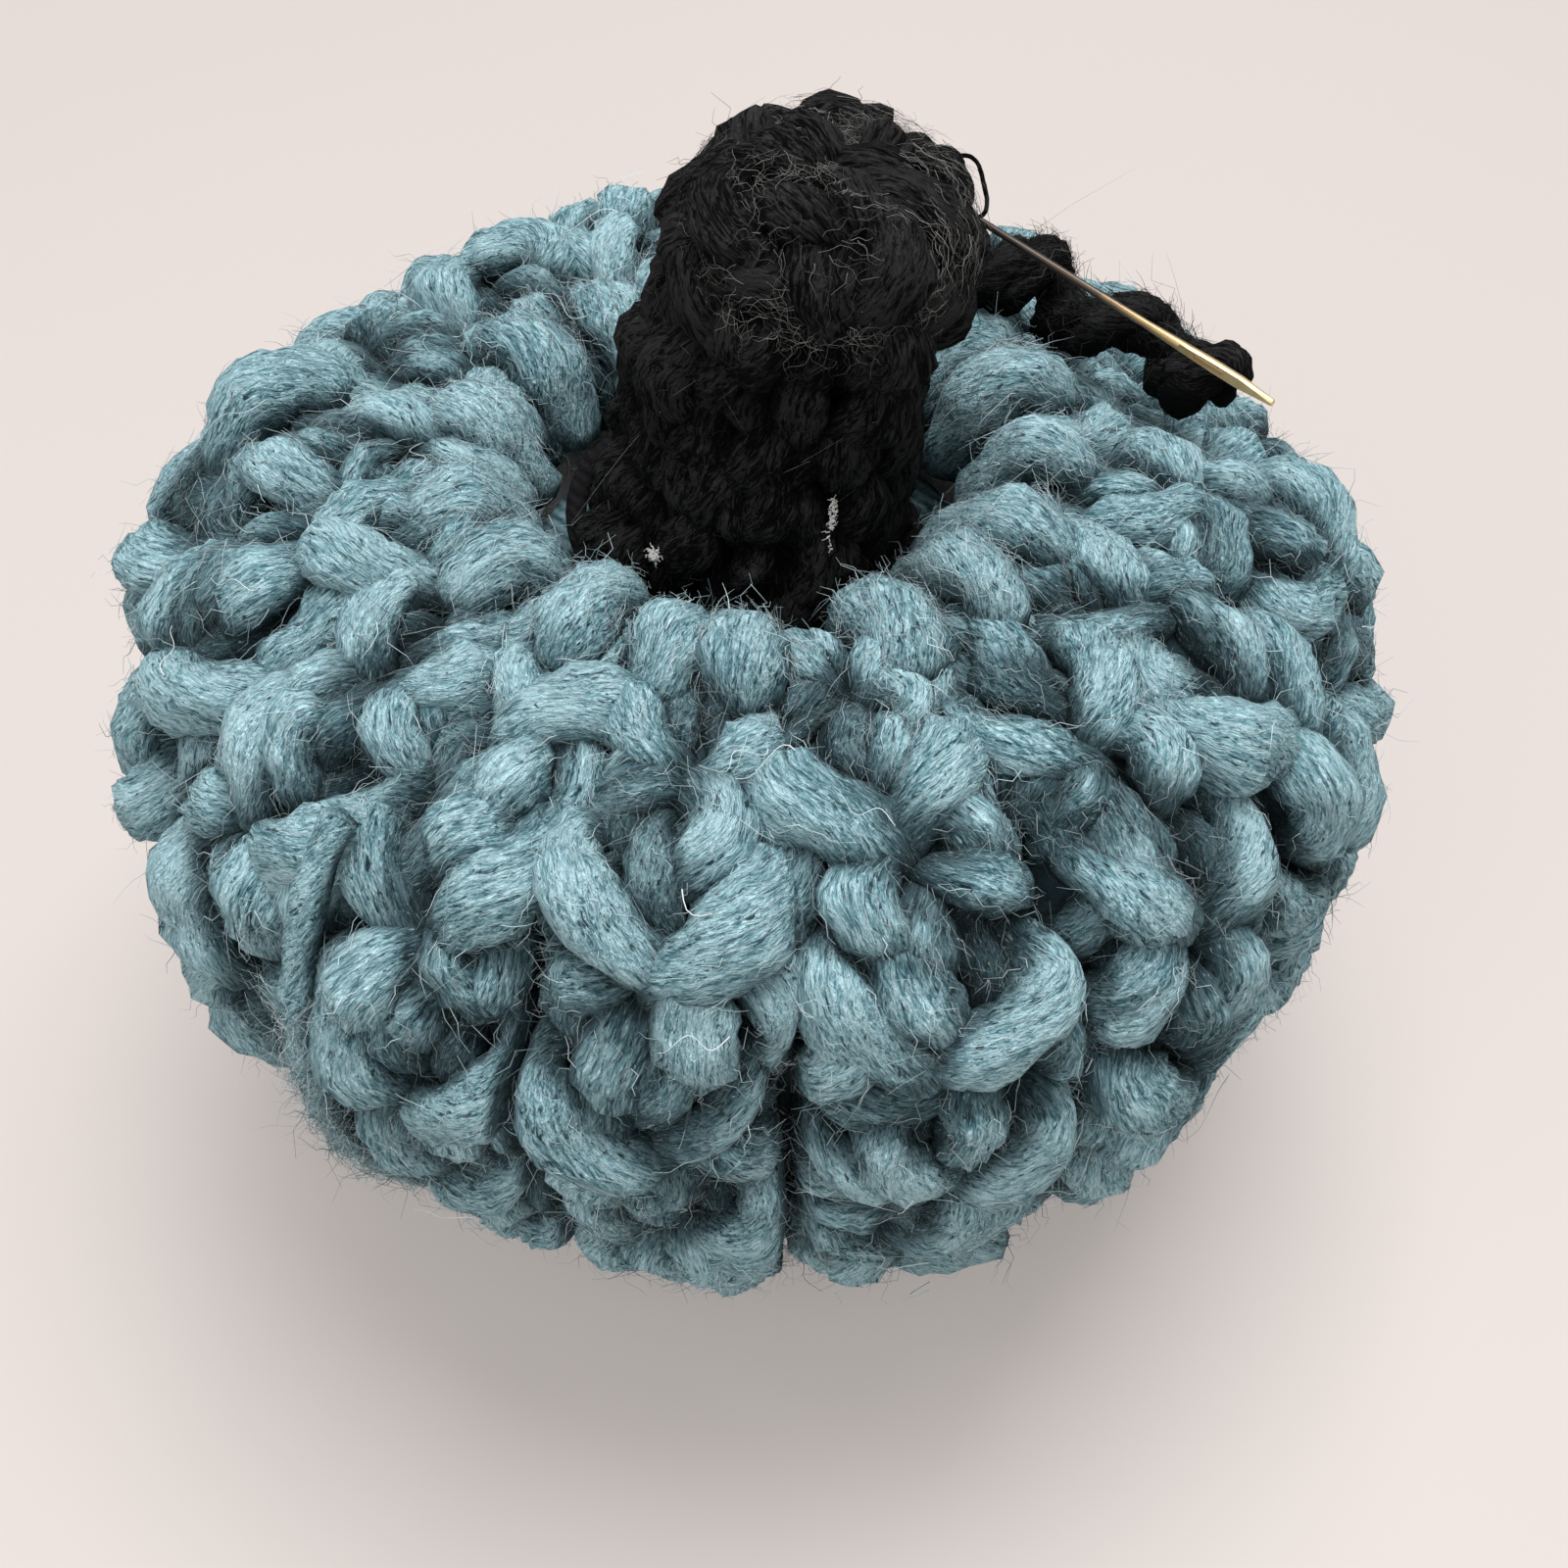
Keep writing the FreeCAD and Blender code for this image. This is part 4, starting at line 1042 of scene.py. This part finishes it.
def ply_material(name, dark, light):
    """A spun strand inside the cushion: plies winding round it and cloudy fibre colour."""
    n = Nodes(name)
    place = n.add("TexCoord").outputs["Object"]
    grain = n.noise(place, 1500.0, 4.0, 0.6)
    ply = n.add("TexWave", bands_direction="DIAGONAL")
    set_inputs(ply, {"Scale": 420.0, "Distortion": 2.5})
    n.link(place, ply, "Vector")
    value = n.sum((grain, 1.0), (ply.outputs["Fac"], 0.35), offset=-0.2)
    n.link(n.ramp(value, (0.15, dark), (0.85, light)), n.surface, "Base Color")
    set_inputs(n.surface, {"Roughness": 0.95, "Specular IOR Level": 0.1})
    n.bump(value, 0.8, 0.0004)
    return n.material


# Distance from the stem over which the needle's steel turns from dark to gilt.
GILT_LENGTH = 23.5


def needle_material():
    """Steel that is dark where it leaves the stem and gilt towards the eye."""
    n = Nodes("needle_steel")
    place = n.add("TexCoord").outputs["Object"]
    axis = joint("needle_slide")["axis"]
    along = n.add("VectorMath", operation="DOT_PRODUCT")
    n.link(place, along, 0)
    along.inputs[1].default_value = axis
    entry = float(NEEDLE_ENTRY @ np.array(axis)) / GILT_LENGTH
    tone_shift = n.noise(place, 900.0, 4.0, 0.6)
    share = n.sum((along.outputs["Value"], 1 / (GILT_LENGTH * MM)), (tone_shift, 0.25), offset=-0.12 - entry)
    stops = ((0.0, srgb(46, 42, 40)), (0.42, srgb(78, 68, 58)), (0.72, srgb(186, 158, 112)),
             (1.0, srgb(222, 198, 150)))
    n.link(n.ramp(share, *stops), n.surface, "Base Color")
    set_inputs(n.surface, {"Metallic": 0.75})
    n.link(n.sum((tone_shift, 0.35), offset=0.2), n.surface, "Roughness")
    n.bump(tone_shift, 0.15, 0.0001)
    return n.material


def finish_frame_nodes():
    """Materials for the CAD pieces that keep their own shape."""
    teal = ply_material("teal_ply", srgb(44, 76, 84), srgb(140, 172, 180))
    charcoal = ply_material("charcoal_ply", srgb(5, 5, 6), srgb(26, 26, 28))
    for node, material in (
        ("top_gather_strand", teal), ("bottom_gather_strand", teal), ("centre_tie", teal),
        ("stem_sewing_strand", charcoal), ("vine_tie", charcoal), ("needle", needle_material()),
    ):
        slots = frame["nodes"][node].data.materials
        slots.clear()
        slots.append(material)


# ---- stage, light and camera ----


TABLE_SIZE = 3000.0
LIT_PLACE = Vector((0, 0, 0.03))
WORLD_STRENGTH = 0.42


def make_table():
    """A plain pale table top that gives off a little light, so that it looks almost white."""
    corners = np.array([[-1, -1, 0], [1, -1, 0], [1, 1, 0], [-1, 1, 0]]) * TABLE_SIZE / 2
    table = mesh_piece("table_top", corners, np.array([[0, 1, 2, 3]]), NO_FACES)
    n = Nodes("table_top")
    cloud = n.noise(n.add("TexCoord").outputs["Object"], 2.0)
    n.link(n.ramp(cloud, (0.3, srgb(160, 152, 148)), (0.7, srgb(164, 157, 153))), n.surface, "Base Color")
    glow = {"Emission Color": srgb(232, 224, 220), "Emission Strength": 0.295}
    set_inputs(n.surface, {"Roughness": 0.6, **glow})
    table.data.materials.append(n.material)


def make_lights():
    """Soft light from above and a little behind, weaker light from the front left, and a pale room."""
    for name, place, size, power in (
        ("key_light", (0.06, 0.12, 0.80), 0.5, 7.6),
        ("fill_light", (-0.25, -0.6, 0.7), 1.0, 4.7),
    ):
        lamp = bpy.data.lights.new(name, "AREA")
        lamp.energy, lamp.size = power, size
        light = bpy.data.objects.new(name, lamp)
        light.location = place
        light.rotation_euler = (LIT_PLACE - light.location).to_track_quat("-Z", "Y").to_euler()
        bpy.context.scene.collection.objects.link(light)

    world = bpy.data.worlds.new("studio")
    world.use_nodes = True
    background = world.node_tree.nodes["Background"]
    set_inputs(background, {"Color": srgb(240, 236, 235), "Strength": WORLD_STRENGTH})
    bpy.context.scene.world = world
    bpy.context.scene.view_settings.view_transform = "Standard"


def make_camera():
    """Looks down at the cushion from the front, from close by."""
    distance, elevation = 0.175, math.radians(48.9)
    target = Vector((0.0025, 0.0, 0.0319))
    back = Vector((0, -math.cos(elevation), math.sin(elevation)))
    lens = bpy.data.cameras.new("camera")
    lens.lens, lens.sensor_width, lens.clip_start = 45.2, 36.0, 0.01
    camera = bpy.data.objects.new("camera", lens)
    camera.location = target + back * distance
    camera.rotation_euler = (-back).to_track_quat("-Z", "Y").to_euler()
    bpy.context.scene.collection.objects.link(camera)
    bpy.context.scene.camera = camera


liner = make_liner_surface()
make_liner(liner)
make_ribs(liner)
make_rim()
make_seam()
stem = stem_surface()
make_stem(stem)
make_vine()
make_thread()
make_loose_fibres(liner, stem)
finish_frame_nodes()
make_table()
make_lights()
make_camera()
